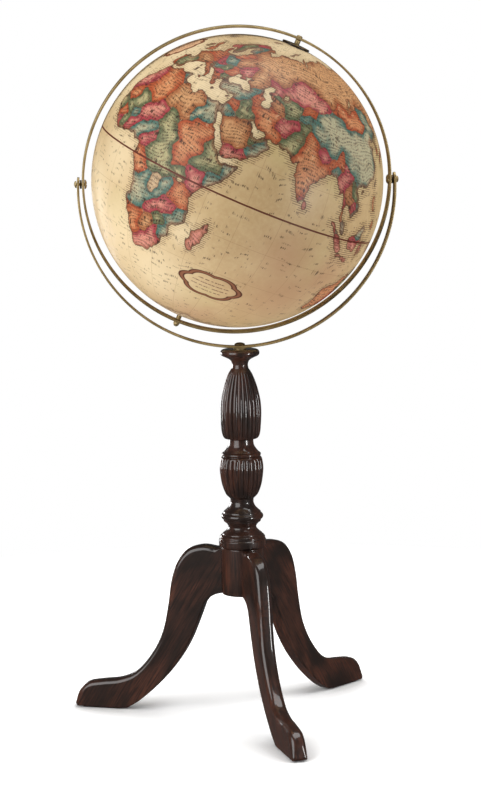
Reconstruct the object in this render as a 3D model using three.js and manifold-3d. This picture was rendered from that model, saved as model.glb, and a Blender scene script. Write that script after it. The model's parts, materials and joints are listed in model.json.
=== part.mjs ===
// A floor-standing globe: a ball in a full meridian ring, held by a half-ring cradle on a turned
// column with three cabriole legs. Millimetres, +Z up, the floor at z = 0.
import * as THREE from 'three';
import { mergeVertices } from 'three/addons/utils/BufferGeometryUtils.js';
import Module from 'manifold-3d';

const wasm = await Module();
wasm.setup();

// ---- driving dimensions -------------------------------------------------------------------------
const gap = 0.3;                    // clearance between pieces that rest on each other

const globeRadius = 203.2;          // a 16 inch ball
const shellThickness = 3;
const globeCentreHeight = 762;
const poleTilt = 23.5;              // degrees from upright, towards +X
const meridianTip = 8;              // degrees, the ring's top leans towards -Y

const ringWidth = 15;
const ringThickness = 3.2;
const meridianInnerRadius = 213;
const cradleInnerRadius = 220;
const cradleDrop = 9.5;             // the cradle's arc is centred this far below the globe's centre
const cradleEndRise = 10;           // how far the cradle's ends rise above the pivots

const columnTopHeight = 527.5;
const vaseBottomHeight = 400;       // joint between the two column pieces
const hubTopHeight = 244.7;
const hubBottomHeight = 177;
const hubRadius = 30.2;
const hubCavityRadius = 17;
const hubWebThickness = 14;

const legThickness = 21.6;
const legAzimuths = { front: -78.3, right: 41.7, left: 161.7 };
const legBoltHeights = { lower: 190, upper: 212 };
const footPadThickness = 1.5;
const footHeight = footPadThickness + gap;      // underside of the wooden foot

const columnPlace = new THREE.Vector3(8, 23, 0);    // the outline's middle is then at the origin

const ballSegments = 40;
const ringSegments = 80;
const turnedSegments = 28;
const smallSegments = 12;

const meridianOuterRadius = meridianInnerRadius + ringThickness;
const cradleOuterRadius = cradleInnerRadius + ringThickness;
const cradleCentreHeight = globeCentreHeight - cradleDrop;

// ---- materials ----------------------------------------------------------------------------------
const finishes = {
  lacquered_wood: { color: 0x2c1a16, roughness: 0.18, metalness: 0 },
  antique_brass: { color: 0x9a8358, roughness: 0.3, metalness: 1 },
  dark_brass: { color: 0x4d3f28, roughness: 0.35, metalness: 1 },
  zinc_steel: { color: 0x9b9c9d, roughness: 0.4, metalness: 1 },
  dial_enamel: { color: 0x1c1a17, roughness: 0.35, metalness: 0 },
  map_paper: { color: 0xdcc295, roughness: 0.45, metalness: 0 },
  pressed_board: { color: 0x8d7a5e, roughness: 0.9, metalness: 0 },
  bearing_plastic: { color: 0x3a352e, roughness: 0.5, metalness: 0 },
  felt: { color: 0x2a1d17, roughness: 1, metalness: 0 },
};

// ---- geometry helpers ---------------------------------------------------------------------------
const radians = THREE.MathUtils.degToRad;
const at = (x, y) => new THREE.Vector2(x, y);

/** Merges a geometry's shared corners, drops flat triangles and makes its faces point outwards. */
function closed(geometry) {
  geometry.deleteAttribute('normal');
  geometry.deleteAttribute('uv');
  const merged = mergeVertices(geometry, 1e-4);
  const place = merged.getAttribute('position');
  const corners = merged.index.array;
  const kept = [];
  const [a, b, c] = [new THREE.Vector3(), new THREE.Vector3(), new THREE.Vector3()];
  let volume = 0;
  for (let i = 0; i < corners.length; i += 3) {
    const [p, q, r] = corners.slice(i, i + 3);
    if (p === q || q === r || r === p) continue;
    kept.push(p, q, r);
    a.fromBufferAttribute(place, p);
    b.fromBufferAttribute(place, q);
    c.fromBufferAttribute(place, r);
    volume += a.dot(b.cross(c));
  }
  merged.setIndex(volume > 0 ? kept : kept.reverse());
  return merged;
}

function toManifold(geometry) {
  const body = closed(geometry);
  return new wasm.Manifold(new wasm.Mesh({
    numProp: 3,
    vertProperties: new Float32Array(body.getAttribute('position').array),
    triVerts: new Uint32Array(body.index.array),
  }));
}

/** The body with each of the cutters taken out of it. */
function cut(body, ...cutters) {
  const result = cutters.reduce((solid, cutter) => solid.subtract(toManifold(cutter)), toManifold(body));
  const mesh = result.getMesh();
  const geometry = new THREE.BufferGeometry();
  geometry.setAttribute('position', new THREE.BufferAttribute(mesh.vertProperties, 3));
  geometry.setIndex(new THREE.BufferAttribute(mesh.triVerts, 1));
  return geometry;
}

/** A turned body about the Z axis, from a profile of (radius, height) points. */
function turned(profile, segments = turnedSegments) {
  return closed(new THREE.LatheGeometry(profile, segments).rotateX(Math.PI / 2));
}

/** A round tube or washer about the Z axis. */
function sleeve(innerRadius, outerRadius, bottom, top, segments = smallSegments) {
  const corners = [at(innerRadius, bottom), at(outerRadius, bottom), at(outerRadius, top),
    at(innerRadius, top), at(innerRadius, bottom)];
  return turned(corners, segments);
}

/** A plain round rod about the Z axis. */
function rod(radius, bottom, top, segments = smallSegments) {
  return turned([at(0, bottom), at(radius, bottom), at(radius, top), at(0, top)], segments);
}

/** Points on a circular arc, angles in degrees. */
function arc(centreX, centreY, radius, from, to, steps) {
  return Array.from({ length: steps + 1 }, (_, i) => {
    const angle = radians(from + (to - from) * i / steps);
    return at(centreX + radius * Math.cos(angle), centreY + radius * Math.sin(angle));
  });
}

/** Points on a smooth curve through the given (radius, height) pairs. */
function smooth(pairs, steps) {
  return new THREE.SplineCurve(pairs.map(([x, y]) => at(x, y))).getPoints(steps);
}

/** Turns a body about Z into one about X, with its top towards +X. */
const alongX = (geometry) => geometry.rotateY(Math.PI / 2);

function hexNut(acrossFlats, boreRadius, bottom, top) {
  const corner = acrossFlats / 2 / Math.cos(Math.PI / 6);
  const outline = new THREE.Shape(arc(0, 0, corner, 0, 300, 5));
  outline.holes.push(new THREE.Path(arc(0, 0, boreRadius, 360, 30, 11)));
  const nut = new THREE.ExtrudeGeometry(outline, { depth: top - bottom, bevelEnabled: false });
  return closed(nut.translate(0, 0, bottom));
}

/** A domed nut about Z with a blind bore, its flat base at z = base. */
function capNut(radius, height, boreRadius, boreDepth, base) {
  const flank = height * 0.35;
  const dome = [0, 22.5, 45, 67.5, 90].map((a) => at(radius * Math.cos(radians(a)),
    base + flank + (height - flank) * Math.sin(radians(a))));
  return turned([at(0, base + boreDepth), at(boreRadius, base + boreDepth), at(boreRadius, base),
    at(radius, base), ...dome.slice(0, -1), at(0, base + height)], smallSegments + 4);
}

/** A round-headed screw about Z: its shank runs down from the head's flat underside at z = seat. */
function domedScrew(headRadius, headHeight, shankRadius, seat, tip) {
  const dome = [0, 22.5, 45, 67.5].map((a) => at(headRadius * Math.cos(radians(a)),
    seat + headHeight * (0.2 + 0.8 * Math.sin(radians(a)))));
  return turned([at(0, tip), at(shankRadius, tip), at(shankRadius, seat), at(headRadius, seat),
    ...dome, at(0, seat + headHeight)], smallSegments + 4);
}

/** A band bent round the Y axis, between two radii and from one angle to another in the XZ plane. */
function bentBand(innerRadius, outerRadius, from, to, segments) {
  const outline = new THREE.Shape([...arc(0, 0, outerRadius, from, to, segments),
    ...arc(0, 0, innerRadius, to, from, segments)]);
  const band = new THREE.ExtrudeGeometry(outline, { depth: ringWidth, bevelEnabled: false });
  return band.translate(0, 0, -ringWidth / 2).rotateX(Math.PI / 2);
}

// ---- assembly helpers ---------------------------------------------------------------------------
const object = new THREE.Group();

function piece(name, finish, geometry, parent = object) {
  const mesh = new THREE.Mesh(geometry, new THREE.MeshStandardMaterial(finishes[finish]));
  mesh.name = name;
  parent.add(mesh);
  return mesh;
}

// ---- column -------------------------------------------------------------------------------------
const screwRadius = 4;
const screwBore = screwRadius + gap;
const columnScrewReach = 27;
const insertRadius = 6;
const insertLength = 24;
const capBoreBottom = columnTopHeight - 31;
const columnJointHeight = hubTopHeight + gap;

function columnTop() {
  const vase = smooth([[25.6, 403.6], [27.6, 412], [29.1, 433], [28.8, 449], [26.6, 463], [22.6, 478],
    [17.4, 491.5], [13.9, 497.6]], 12);
  const neck = smooth([[11.9, 500.6], [11.2, 506], [13.2, 511.6], [18.6, 515.2], [24.6, 517.9]], 6);
  const cap = arc(22.6, 522.4, 5.1, -40, 90, 5);
  return turned([
    at(0, vaseBottomHeight + columnScrewReach + 3), at(screwBore, vaseBottomHeight + columnScrewReach + 3),
    at(screwBore, vaseBottomHeight), at(18.6, vaseBottomHeight), at(23.6, 401),
    ...vase, ...neck, ...cap,
    at(insertRadius + gap, columnTopHeight), at(insertRadius + gap, capBoreBottom), at(0, capBoreBottom),
  ]);
}

function columnMiddle() {
  const top = vaseBottomHeight - gap;
  const collar = smooth([[32.4, 245.6], [33.6, 248.5], [33.6, 255], [32.3, 259.6]], 4);
  const lowerCove = smooth([[28.2, 264.6], [22.2, 269.6], [19.8, 274.2], [22.4, 279], [26.4, 282.8]], 6);
  const bead = arc(25.4, 288.8, 4.5, -50, 50, 4);
  const upperCove = smooth([[26.2, 296], [19.6, 302.4], [16.6, 308.5], [16.5, 313]], 5);
  const bulb = smooth([[18.6, 316], [23.3, 321.8], [28.2, 335.5], [30.7, 352], [30.9, 362], [28.6, 373.6]], 9);
  const shoulder = smooth([[26.9, 376], [26.6, 379.4], [21.6, 385.6], [18.1, 391.6], [17.2, top]], 6);
  return turned([
    at(0, columnJointHeight + 40), at(screwBore, columnJointHeight + 40), at(screwBore, columnJointHeight),
    at(31.6, columnJointHeight),
    ...collar, ...lowerCove, ...bead, ...upperCove, ...bulb, ...shoulder,
    at(screwBore, top), at(screwBore, vaseBottomHeight - columnScrewReach - 3),
    at(0, vaseBottomHeight - columnScrewReach - 3),
  ]);
}

piece('column_top', 'lacquered_wood', columnTop());
piece('column_middle', 'lacquered_wood', columnMiddle());
piece('dowel_screw', 'zinc_steel',
  rod(screwRadius, vaseBottomHeight - columnScrewReach, vaseBottomHeight + columnScrewReach));

// ---- hub: a turned block with a hollow underneath, where the leg nuts are tightened -------------
const cavityTop = hubTopHeight - hubWebThickness;
const legBoltRadius = 3;
const legBoltBore = legBoltRadius + gap;
const legBoltInnerEnd = 9;
const legBoltOuterEnd = 55;

/** Moves a body lying along +X out from the column at a leg's azimuth and a height. */
const onLeg = (geometry, azimuth, height = 0) =>
  geometry.translate(0, 0, height).rotateZ(radians(azimuth));

function hub() {
  const block = turned([
    at(0, cavityTop), at(hubCavityRadius, cavityTop), at(hubCavityRadius, hubBottomHeight),
    at(hubRadius - 1, hubBottomHeight), at(hubRadius, hubBottomHeight + 1),
    at(hubRadius, hubTopHeight - 1.2), at(hubRadius - 1.2, hubTopHeight), at(0, hubTopHeight),
  ], 36);
  const boltHoles = Object.values(legAzimuths).flatMap((azimuth) =>
    Object.values(legBoltHeights).map((height) =>
      onLeg(alongX(rod(legBoltBore, hubCavityRadius - 4, hubRadius + 4)), azimuth, height)));
  return cut(block, rod(screwBore, cavityTop - 4, hubTopHeight + 4), ...boltHoles);
}

const hubWasherTop = cavityTop - gap;
const hubNutTop = hubWasherTop - 1.6 - gap;
piece('hub', 'lacquered_wood', hub());
piece('hub_bolt', 'zinc_steel', rod(screwRadius, hubNutTop - 9, columnJointHeight + 37));
piece('hub_washer', 'zinc_steel', sleeve(screwBore, 10, hubWasherTop - 1.6, hubWasherTop));
piece('hub_nut', 'zinc_steel', hexNut(13, screwBore, hubNutTop - 6.5, hubNutTop));

// ---- legs ---------------------------------------------------------------------------------------
const legRootRadius = 24;
const heelRadius = 174;
const toeRadius = 252.5;

function leg() {
  const upperEdge = smooth([[38, 244.2], [58, 246.2], [81, 238.4], [97, 218.6], [105.4, 190], [110.4, 157],
    [119, 118.5], [135.5, 86], [159.5, 57.8], [183, 46], [211, 41.8], [234, 36.8], [247, 24],
    [toeRadius, footHeight + 4]], 36);
  const lowerEdge = smooth([[heelRadius, footHeight], [153.6, 14.8], [124.6, 40.6], [99, 70.5], [79.8, 101],
    [66.6, 131], [55, 161.5]], 18);
  const arch = smooth([[55, 161.5], [48.5, 169.6], [40, 175], [32, 177.4]], 5);
  const outline = new THREE.Shape([
    at(legRootRadius, 243.4), ...upperEdge, at(toeRadius - 3, footHeight),
    ...lowerEdge, ...arch.slice(1), at(legRootRadius, 178),
  ]);
  const board = new THREE.ExtrudeGeometry(outline, { depth: legThickness, bevelEnabled: false });
  board.translate(0, 0, -legThickness / 2).rotateX(Math.PI / 2);
  const boltHoles = Object.values(legBoltHeights).map((height) =>
    alongX(rod(legBoltBore, legRootRadius - 4, legBoltOuterEnd + 2)).translate(0, 0, height));
  return cut(board, rod(hubRadius + gap + 0.1, hubBottomHeight - 20, hubTopHeight + 20, 36), ...boltHoles);
}

function footPad() {
  const [inner, outer, halfWidth] = [heelRadius + 7, toeRadius - 8, legThickness / 2 - 3];
  const outline = new THREE.Shape([...arc(outer - halfWidth, 0, halfWidth, -90, 90, 8),
    ...arc(inner + halfWidth, 0, halfWidth, 90, 270, 8)]);
  return closed(new THREE.ExtrudeGeometry(outline, { depth: footPadThickness, bevelEnabled: false }));
}

for (const [side, azimuth] of Object.entries(legAzimuths)) {
  piece(`leg_${side}`, 'lacquered_wood', onLeg(leg(), azimuth));
  piece(`foot_pad_${side}`, 'felt', onLeg(footPad(), azimuth));
  for (const [level, height] of Object.entries(legBoltHeights)) {
    const bolt = alongX(rod(legBoltRadius, legBoltInnerEnd, legBoltOuterEnd));
    const nut = alongX(hexNut(10, legBoltBore, 10.6, 15.4));
    piece(`leg_bolt_${side}_${level}`, 'zinc_steel', onLeg(bolt, azimuth, height));
    piece(`leg_nut_${side}_${level}`, 'zinc_steel', onLeg(nut, azimuth, height));
  }
}

// ---- swivel between the column and the cradle ---------------------------------------------------
const cradleBottom = cradleCentreHeight - cradleOuterRadius;
const cradleFloor = cradleCentreHeight - cradleInnerRadius;
piece('cap_insert', 'antique_brass',
  sleeve(screwBore, insertRadius, columnTopHeight - insertLength, columnTopHeight - gap));
piece('swivel_washer', 'antique_brass',
  sleeve(screwBore, 9, columnTopHeight + gap, cradleBottom - gap, 24));
piece('swivel_bolt', 'dark_brass',
  domedScrew(7.5, 4, screwRadius, cradleFloor + gap + 0.15, columnTopHeight - 28));

// ---- cradle -------------------------------------------------------------------------------------
const cradle = new THREE.Group();
cradle.position.z = globeCentreHeight;
object.add(cradle);

const pivotShank = 2;
const pivotBore = pivotShank + gap;
const cradleFaceAtPivot = Math.sqrt(cradleOuterRadius ** 2 - cradleDrop ** 2);

function cradleRing() {
  const endAngle = THREE.MathUtils.radToDeg(
    Math.asin((cradleDrop + cradleEndRise) / (cradleInnerRadius + ringThickness / 2)));
  const band = bentBand(cradleInnerRadius, cradleOuterRadius, -180 - endAngle, endAngle, ringSegments / 2)
    .translate(0, 0, -cradleDrop);
  const swivelHole = rod(screwBore, -cradleDrop - cradleOuterRadius - 5, -cradleDrop - cradleInnerRadius + 5);
  return cut(band, alongX(rod(pivotBore, -cradleOuterRadius - 5, cradleOuterRadius + 5)), swivelHole);
}

piece('cradle_ring', 'antique_brass', cradleRing(), cradle);

const pivotSeat = meridianInnerRadius - gap - 0.2;
const nutSeat = cradleFaceAtPivot + gap + 0.15;
const spacerSpan = [meridianOuterRadius + gap, cradleInnerRadius - gap - 0.6];
for (const [side, turn] of [['right', 0], ['left', Math.PI]]) {
  // The screw's head is towards the globe, so it is made pointing inwards and then turned round.
  const screw = domedScrew(6.5, 3.4, pivotShank, -pivotSeat, -nutSeat - 2.2).rotateX(Math.PI);
  const spacer = sleeve(pivotBore, 6, ...spacerSpan, 20);
  const nut = capNut(4.75, 3.6, pivotBore, 2.6, nutSeat);
  piece(`pivot_screw_${side}`, 'antique_brass', alongX(screw).rotateZ(turn), cradle);
  piece(`pivot_spacer_${side}`, 'dark_brass', alongX(spacer).rotateZ(turn), cradle);
  piece(`pivot_nut_${side}`, 'antique_brass', alongX(nut).rotateZ(turn), cradle);
}

// ---- meridian ring, turning about the pivots' line ----------------------------------------------
const meridian = new THREE.Group();
meridian.rotation.x = radians(meridianTip);
cradle.add(meridian);

/** Everything on the polar axis is built about local Z, which this group leans towards +X. */
const polar = new THREE.Group();
polar.rotation.y = radians(poleTilt);
meridian.add(polar);

const pinRadius = 1.8;
const pinBore = pinRadius + gap;
const pinInnerEnd = globeRadius - 12;
const pinSeat = meridianOuterRadius + gap;

function meridianRing() {
  const profile = [[meridianInnerRadius, -1], [meridianOuterRadius, -1], [meridianOuterRadius, 1],
    [meridianInnerRadius, 1], [meridianInnerRadius, -1]].map(([r, side]) => at(r, side * ringWidth / 2));
  const ring = new THREE.LatheGeometry(profile, ringSegments);
  const through = meridianOuterRadius + 5;
  return cut(ring, alongX(rod(pivotBore, -through, through)),
    rod(pinBore, -through, through).rotateY(radians(poleTilt)));
}

function northPin() {
  const screw = domedScrew(4.2, 2.6, pinRadius, pinSeat, pinInnerEnd);
  const slot = new THREE.BoxGeometry(1.1, 10, 2.2).translate(0, 0, pinSeat + 2.6);
  return cut(screw, slot);
}

piece('meridian_ring', 'antique_brass', meridianRing(), meridian);
piece('north_pin', 'antique_brass', northPin(), polar);
piece('south_stud', 'antique_brass', rod(pinRadius, -pinSeat - 4, -pinInnerEnd), polar);
piece('south_nut', 'antique_brass', capNut(4.85, 6.8, pinBore, 4.4, pinSeat).rotateX(Math.PI), polar);

// ---- hour dial, on the north pin just above the ball --------------------------------------------
const dialRadius = 20;
const dialUnderside = globeRadius + 0.7;
const dialThickness = 2.2;
const dialRim = THREE.MathUtils.radToDeg(Math.asin(dialRadius / dialUnderside));
const dialBoreAngle = THREE.MathUtils.radToDeg(Math.asin(pinBore / dialUnderside));

const dialTop = arc(0, 0, dialUnderside + dialThickness, 90 - dialRim * 0.97, 90 - dialBoreAngle, 3);
const dialBottom = arc(0, 0, dialUnderside, 90 - dialBoreAngle, 90 - dialRim, 3);
piece('hour_dial', 'dial_enamel', turned([...dialTop, ...dialBottom, dialTop[0]], 32), polar);
piece('north_sleeve', 'antique_brass',
  sleeve(pinBore, 3.75, dialUnderside + dialThickness + gap, meridianInnerRadius - gap - 0.1), polar);
piece('south_sleeve', 'antique_brass',
  sleeve(pinBore, 3.5, globeRadius + 1, meridianInnerRadius - gap - 0.1).rotateX(Math.PI), polar);

// ---- ball: two shells, joined by a band inside, on two polar bushings ---------------------------
const bushingRadius = 6;
const shellHole = bushingRadius + gap;
const shellInner = globeRadius - shellThickness;
const bandHalfWidth = 12;

function hemisphere() {
  const holeAngle = (radius) => 90 - THREE.MathUtils.radToDeg(Math.asin(shellHole / radius));
  const seam = (radius) => THREE.MathUtils.radToDeg(Math.asin(gap / 2 / radius));
  const outside = arc(0, 0, globeRadius, seam(globeRadius), holeAngle(globeRadius), 11);
  const inside = arc(0, 0, shellInner, holeAngle(shellInner), seam(shellInner), 9);
  return turned([...outside, ...inside, outside[0]], ballSegments);
}

function bushing() {
  const [flangeTop, flangeThickness, flangeRadius] = [shellInner - 1, 2.5, 11];
  return turned([
    at(pinBore, pinInnerEnd - 3), at(bushingRadius, pinInnerEnd - 3),
    at(bushingRadius, flangeTop - flangeThickness), at(flangeRadius, flangeTop - flangeThickness),
    at(flangeRadius, flangeTop), at(bushingRadius, flangeTop), at(bushingRadius, globeRadius - 0.2),
    at(pinBore, globeRadius - 0.2), at(pinBore, pinInnerEnd - 3),
  ], 24);
}

piece('north_hemisphere', 'map_paper', hemisphere(), polar);
piece('south_hemisphere', 'map_paper', hemisphere().rotateX(Math.PI), polar);
piece('equator_band', 'pressed_board',
  sleeve(shellInner - 4.2, shellInner - 1.8, -bandHalfWidth, bandHalfWidth, ballSegments), polar);
piece('north_bushing', 'bearing_plastic', bushing(), polar);
piece('south_bushing', 'bearing_plastic', bushing().rotateX(Math.PI), polar);

object.position.copy(columnPlace);

export default object;
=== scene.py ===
import json
import math

import bmesh
import bpy
import numpy as np
from mathutils import Matrix, Vector, kdtree


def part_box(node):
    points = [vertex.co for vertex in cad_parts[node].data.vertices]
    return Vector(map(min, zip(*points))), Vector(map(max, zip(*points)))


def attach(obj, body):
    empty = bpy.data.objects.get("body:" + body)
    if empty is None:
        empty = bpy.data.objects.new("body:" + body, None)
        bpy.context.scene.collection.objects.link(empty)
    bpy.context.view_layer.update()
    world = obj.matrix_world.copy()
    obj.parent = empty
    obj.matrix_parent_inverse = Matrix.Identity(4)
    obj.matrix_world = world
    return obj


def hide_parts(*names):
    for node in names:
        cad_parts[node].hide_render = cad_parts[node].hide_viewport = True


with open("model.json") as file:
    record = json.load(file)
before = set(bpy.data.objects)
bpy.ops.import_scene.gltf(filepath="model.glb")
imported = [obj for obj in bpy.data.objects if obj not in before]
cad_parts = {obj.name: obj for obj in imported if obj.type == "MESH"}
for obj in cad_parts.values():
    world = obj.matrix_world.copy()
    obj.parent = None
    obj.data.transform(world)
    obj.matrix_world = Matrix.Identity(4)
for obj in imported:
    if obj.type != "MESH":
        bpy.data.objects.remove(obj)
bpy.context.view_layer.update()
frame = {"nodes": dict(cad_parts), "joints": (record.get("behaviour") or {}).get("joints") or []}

MM = 0.001
TOUCHING = 1e-6
SHARP_ANGLE = math.radians(35)          # edges that turn more are shaded as edges
STRAIGHT_ANGLE = math.radians(168)      # a flatter corner of an outline isn't rounded
CORNER_SHARE = 0.45                     # the most of a stretch that rounding a corner may take


# ---- places taken from the frame ----
def middle(node):
    low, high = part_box(node)
    return (low + high) / 2


def axes(x, y, z):
    """A placement at the globe's centre with these directions as its own X, Y and Z."""
    return pivots @ Matrix((x, y, z)).transposed().to_4x4()


def spin(degrees, axis):
    return Matrix.Rotation(math.radians(degrees), 4, axis)


polar_axis = Vector(next(j for j in frame["joints"] if j["name"] == "globe_spin")["axis"]).normalized()
pivot_axis = Vector((1, 0, 0))
across = polar_axis.cross(pivot_axis).normalized()
globe_centre = Vector((*middle("hub").xy, middle("meridian_ring").z))
upright = Matrix.Translation((*middle("hub").xy, 0))
pivots = Matrix.Translation(globe_centre)
ring_place = axes(pivot_axis, across, pivot_axis.cross(across))
polar_place = axes(across.cross(polar_axis), across, polar_axis)
south_place = polar_place @ spin(180, "X")


# ---- outlines ----
def smooth(points, steps):
    """A Catmull-Rom curve through the points, evenly shared between the stretches."""
    points = np.array(points, float)
    last = len(points) - 1
    found = []
    for at in np.linspace(0, last, steps + 1):
        i = min(int(at), last - 1)
        t = at - i
        a, b, c, d = (points[k] for k in (max(i - 1, 0), i, i + 1, min(i + 2, last)))
        found.append(b + 0.5 * t * (c - a + t * (2 * a - 5 * b + 4 * c - d + t * (3 * (b - c) + d - a))))
    return [tuple(p) for p in found]


def arc(centre, radius, start, end, steps):
    """Points on a circle, angles in degrees."""
    turns = np.radians(np.linspace(start, end, steps + 1))
    return [(centre[0] + radius * math.cos(t), centre[1] + radius * math.sin(t)) for t in turns]


def eased(points, radius=0.6, steps=4, closed=False):
    """The same outline with its corners rounded off."""
    points = [Vector(p) for p in points]
    count = len(points)
    found = []
    for i, here in enumerate(points):
        ways = points[i - 1] - here, points[(i + 1) % count] - here
        is_end = not closed and i in (0, count - 1)
        if is_end or min(way.length for way in ways) < TOUCHING or ways[0].angle(ways[1]) > STRAIGHT_ANGLE:
            found.append(tuple(here))
            continue
        start, end = (here + way.normalized() * min(radius, way.length * CORNER_SHARE) for way in ways)
        for t in np.linspace(0, 1, steps + 1):
            found.append(tuple(start * (1 - t) ** 2 + here * (2 * t * (1 - t)) + end * t * t))
    return found


def fade(value, start, end):
    """0 before start, 1 after end, smooth between them; start may be above end."""
    t = np.clip((value - start) / (end - start), 0, 1)
    return t * t * (3 - 2 * t)


# ---- meshes ----
def mesh_in(place, name, slot, points, faces):
    """A mesh in its slot's material, from points in millimetres."""
    corners = np.c_[points * MM, np.ones(len(points))] @ np.array(place).T
    mesh = bpy.data.meshes.new(name)
    mesh.from_pydata(corners[:, :3].tolist(), [], faces)
    mesh.materials.append(MATERIALS[slot])
    return mesh


def store(mesh, name, values):
    """Keeps a number or a vector for each point as an attribute."""
    kind, field = ("FLOAT", "value") if values.ndim == 1 else ("FLOAT_VECTOR", "vector")
    stored = mesh.attributes.new(name, kind, "POINT")
    stored.data.foreach_set(field, values.astype(np.float32).ravel())


def weld(mesh):
    """Joins corners that lie on each other and points every face outwards."""
    body = bmesh.new()
    body.from_mesh(mesh)
    bmesh.ops.remove_doubles(body, verts=body.verts, dist=TOUCHING)
    bmesh.ops.recalc_face_normals(body, faces=body.faces)
    body.to_mesh(mesh)
    body.free()


def add_object(name, data):
    thing = bpy.data.objects.new(name, data)
    bpy.context.scene.collection.objects.link(thing)
    return thing


def piece_of(mesh, body, node):
    """Makes the mesh a piece of a body, in place of its CAD node."""
    mesh.polygons.foreach_set("use_smooth", [True] * len(mesh.polygons))
    mesh.set_sharp_from_angle(angle=SHARP_ANGLE)
    piece = add_object(mesh.name, mesh)
    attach(piece, body)
    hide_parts(node)
    return piece


def add_piece(name, node, body, slot, shape, place=upright, grain=None):
    """A piece from (points, faces). Its grain is its own points unless it is given."""
    points, faces = shape
    mesh = mesh_in(place, name, slot, points, faces)
    store(mesh, "grain", points if grain is None else grain)
    weld(mesh)
    return piece_of(mesh, body, node)


def sheet_faces(rows, columns, wrap_rows=False):
    """Four-sided faces over a grid of points, row by row, with each row closed on itself."""
    faces = []
    for i in range(rows if wrap_rows else rows - 1):
        for j in range(columns):
            below, right = (i + 1) % rows, (j + 1) % columns
            faces.append((i * columns + j, i * columns + right, below * columns + right, below * columns + j))
    return faces


def capped_faces(rows, columns):
    """The same over a grid whose first and last rows are filled in."""
    last = (rows - 1) * columns
    return sheet_faces(rows, columns) + [tuple(range(columns)), tuple(range(last, last + columns))]


def turned(profile, segments=64, shaped=None, closed=False):
    """A surface of revolution about local Z. shaped(turns, radii, heights) may change the radii."""
    profile = np.array(profile, float)
    turns = np.linspace(0, 2 * math.pi, segments, endpoint=False)[None, :]
    radii = np.repeat(profile[:, :1], segments, 1)
    heights = np.repeat(profile[:, 1:2], segments, 1)
    if shaped:
        radii = shaped(turns, radii, heights)
    points = np.stack([radii * np.cos(turns), radii * np.sin(turns), heights], 2).reshape(-1, 3)
    return points, sheet_faces(len(profile), segments, wrap_rows=closed)


# ---- materials ----
def rgb(red, green, blue):
    """A linear colour from screen values of 0 to 255."""
    parts = [c / 255 for c in (red, green, blue)]
    return tuple(c / 12.92 if c <= 0.04045 else ((c + 0.055) / 1.055) ** 2.4 for c in parts) + (1,)


class Value:
    """A node's output. Arithmetic on it adds math nodes."""

    def __init__(self, nodes, socket):
        self.nodes, self.socket = nodes, socket

    def math(self, operation, *others):
        return self.nodes.add("ShaderNodeMath", enumerate((self, *others)), operation=operation)

    def __add__(self, other):
        return self.math("ADD", other)

    def __sub__(self, other):
        return self.math("SUBTRACT", other)

    def __mul__(self, other):
        return self.math("MULTIPLY", other)

    def __truediv__(self, other):
        return self.math("DIVIDE", other)

    def __abs__(self):
        return self.math("ABSOLUTE")

    def ramp(self, low, high, start=0.0, end=1.0):
        """Goes smoothly from start, where this is low, to end, where it is high."""
        inputs = {"Value": self, "From Min": low, "From Max": high, "To Min": start, "To Max": end}
        return self.nodes.add("ShaderNodeMapRange", inputs, interpolation_type="SMOOTHSTEP")

    def line(self, half, soft=0.06):
        """1 where this is less than half a line's width, with a soft edge."""
        return self.ramp(half - soft, half + soft, 1.0, 0.0)

    def near(self, period):
        """How far this is from the nearest multiple of the period."""
        return abs((self / period + 0.5).math("FRACT") - 0.5) * period

    def scaled(self, factors):
        return self.nodes.add("ShaderNodeVectorMath", {0: self, 1: factors}, operation="MULTIPLY")

    def parts(self):
        node = self.nodes.add("ShaderNodeSeparateXYZ", {0: self}).socket.node
        return [Value(self.nodes, output) for output in node.outputs]

    def noise(self, scale, detail=3.0, roughness=0.55, distortion=0.0):
        inputs = {"Vector": self, "Scale": scale, "Detail": detail, "Roughness": roughness,
                  "Distortion": distortion}
        return self.nodes.add("ShaderNodeTexNoise", inputs)


class Nodes:
    """The node tree of a material, or of the world, around its shader."""

    def __init__(self, name, makers=bpy.data.materials, shader="Principled BSDF", **constants):
        self.owner = makers.new(name)
        self.owner.use_nodes = True
        self.tree = self.owner.node_tree
        self.shader = self.tree.nodes[shader]
        for socket, value in constants.items():
            self.shader.inputs[socket.replace("_", " ").title().replace("Ior", "IOR")].default_value = value

    def add(self, kind, inputs=(), output=0, **settings):
        node = self.tree.nodes.new(kind)
        for key, value in settings.items():
            setattr(node, key, value)
        for socket, value in dict(inputs).items():
            if isinstance(value, Value):
                self.tree.links.new(value.socket, node.inputs[socket])
            else:
                node.inputs[socket].default_value = value
        return Value(self, node.outputs[output])

    def drive(self, socket, value):
        self.tree.links.new(value.socket, self.shader.inputs[socket])

    def attribute(self, name, output="Vector"):
        return self.add("ShaderNodeAttribute", output=output, attribute_name=name)

    def combine(self, *parts):
        return self.add("ShaderNodeCombineXYZ", enumerate(parts))

    def mix(self, factor, *colours):
        """A blend of two colours. A plain one is in screen values of 0 to 255."""
        a, b = (rgb(*colour) if isinstance(colour, tuple) else colour for colour in colours)
        return self.add("ShaderNodeMix", {0: factor, 6: a, 7: b}, output=2, data_type="RGBA")

    def finished(self, colour, roughness, height=None, distance=0.0, strength=0.0):
        """The material, with its colour, roughness and bumps driven by these."""
        self.drive("Base Color", colour)
        self.drive("Roughness", roughness)
        if height:
            inputs = {"Height": height, "Distance": distance, "Strength": strength}
            self.drive("Normal", self.add("ShaderNodeBump", inputs))
        return self.owner


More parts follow.
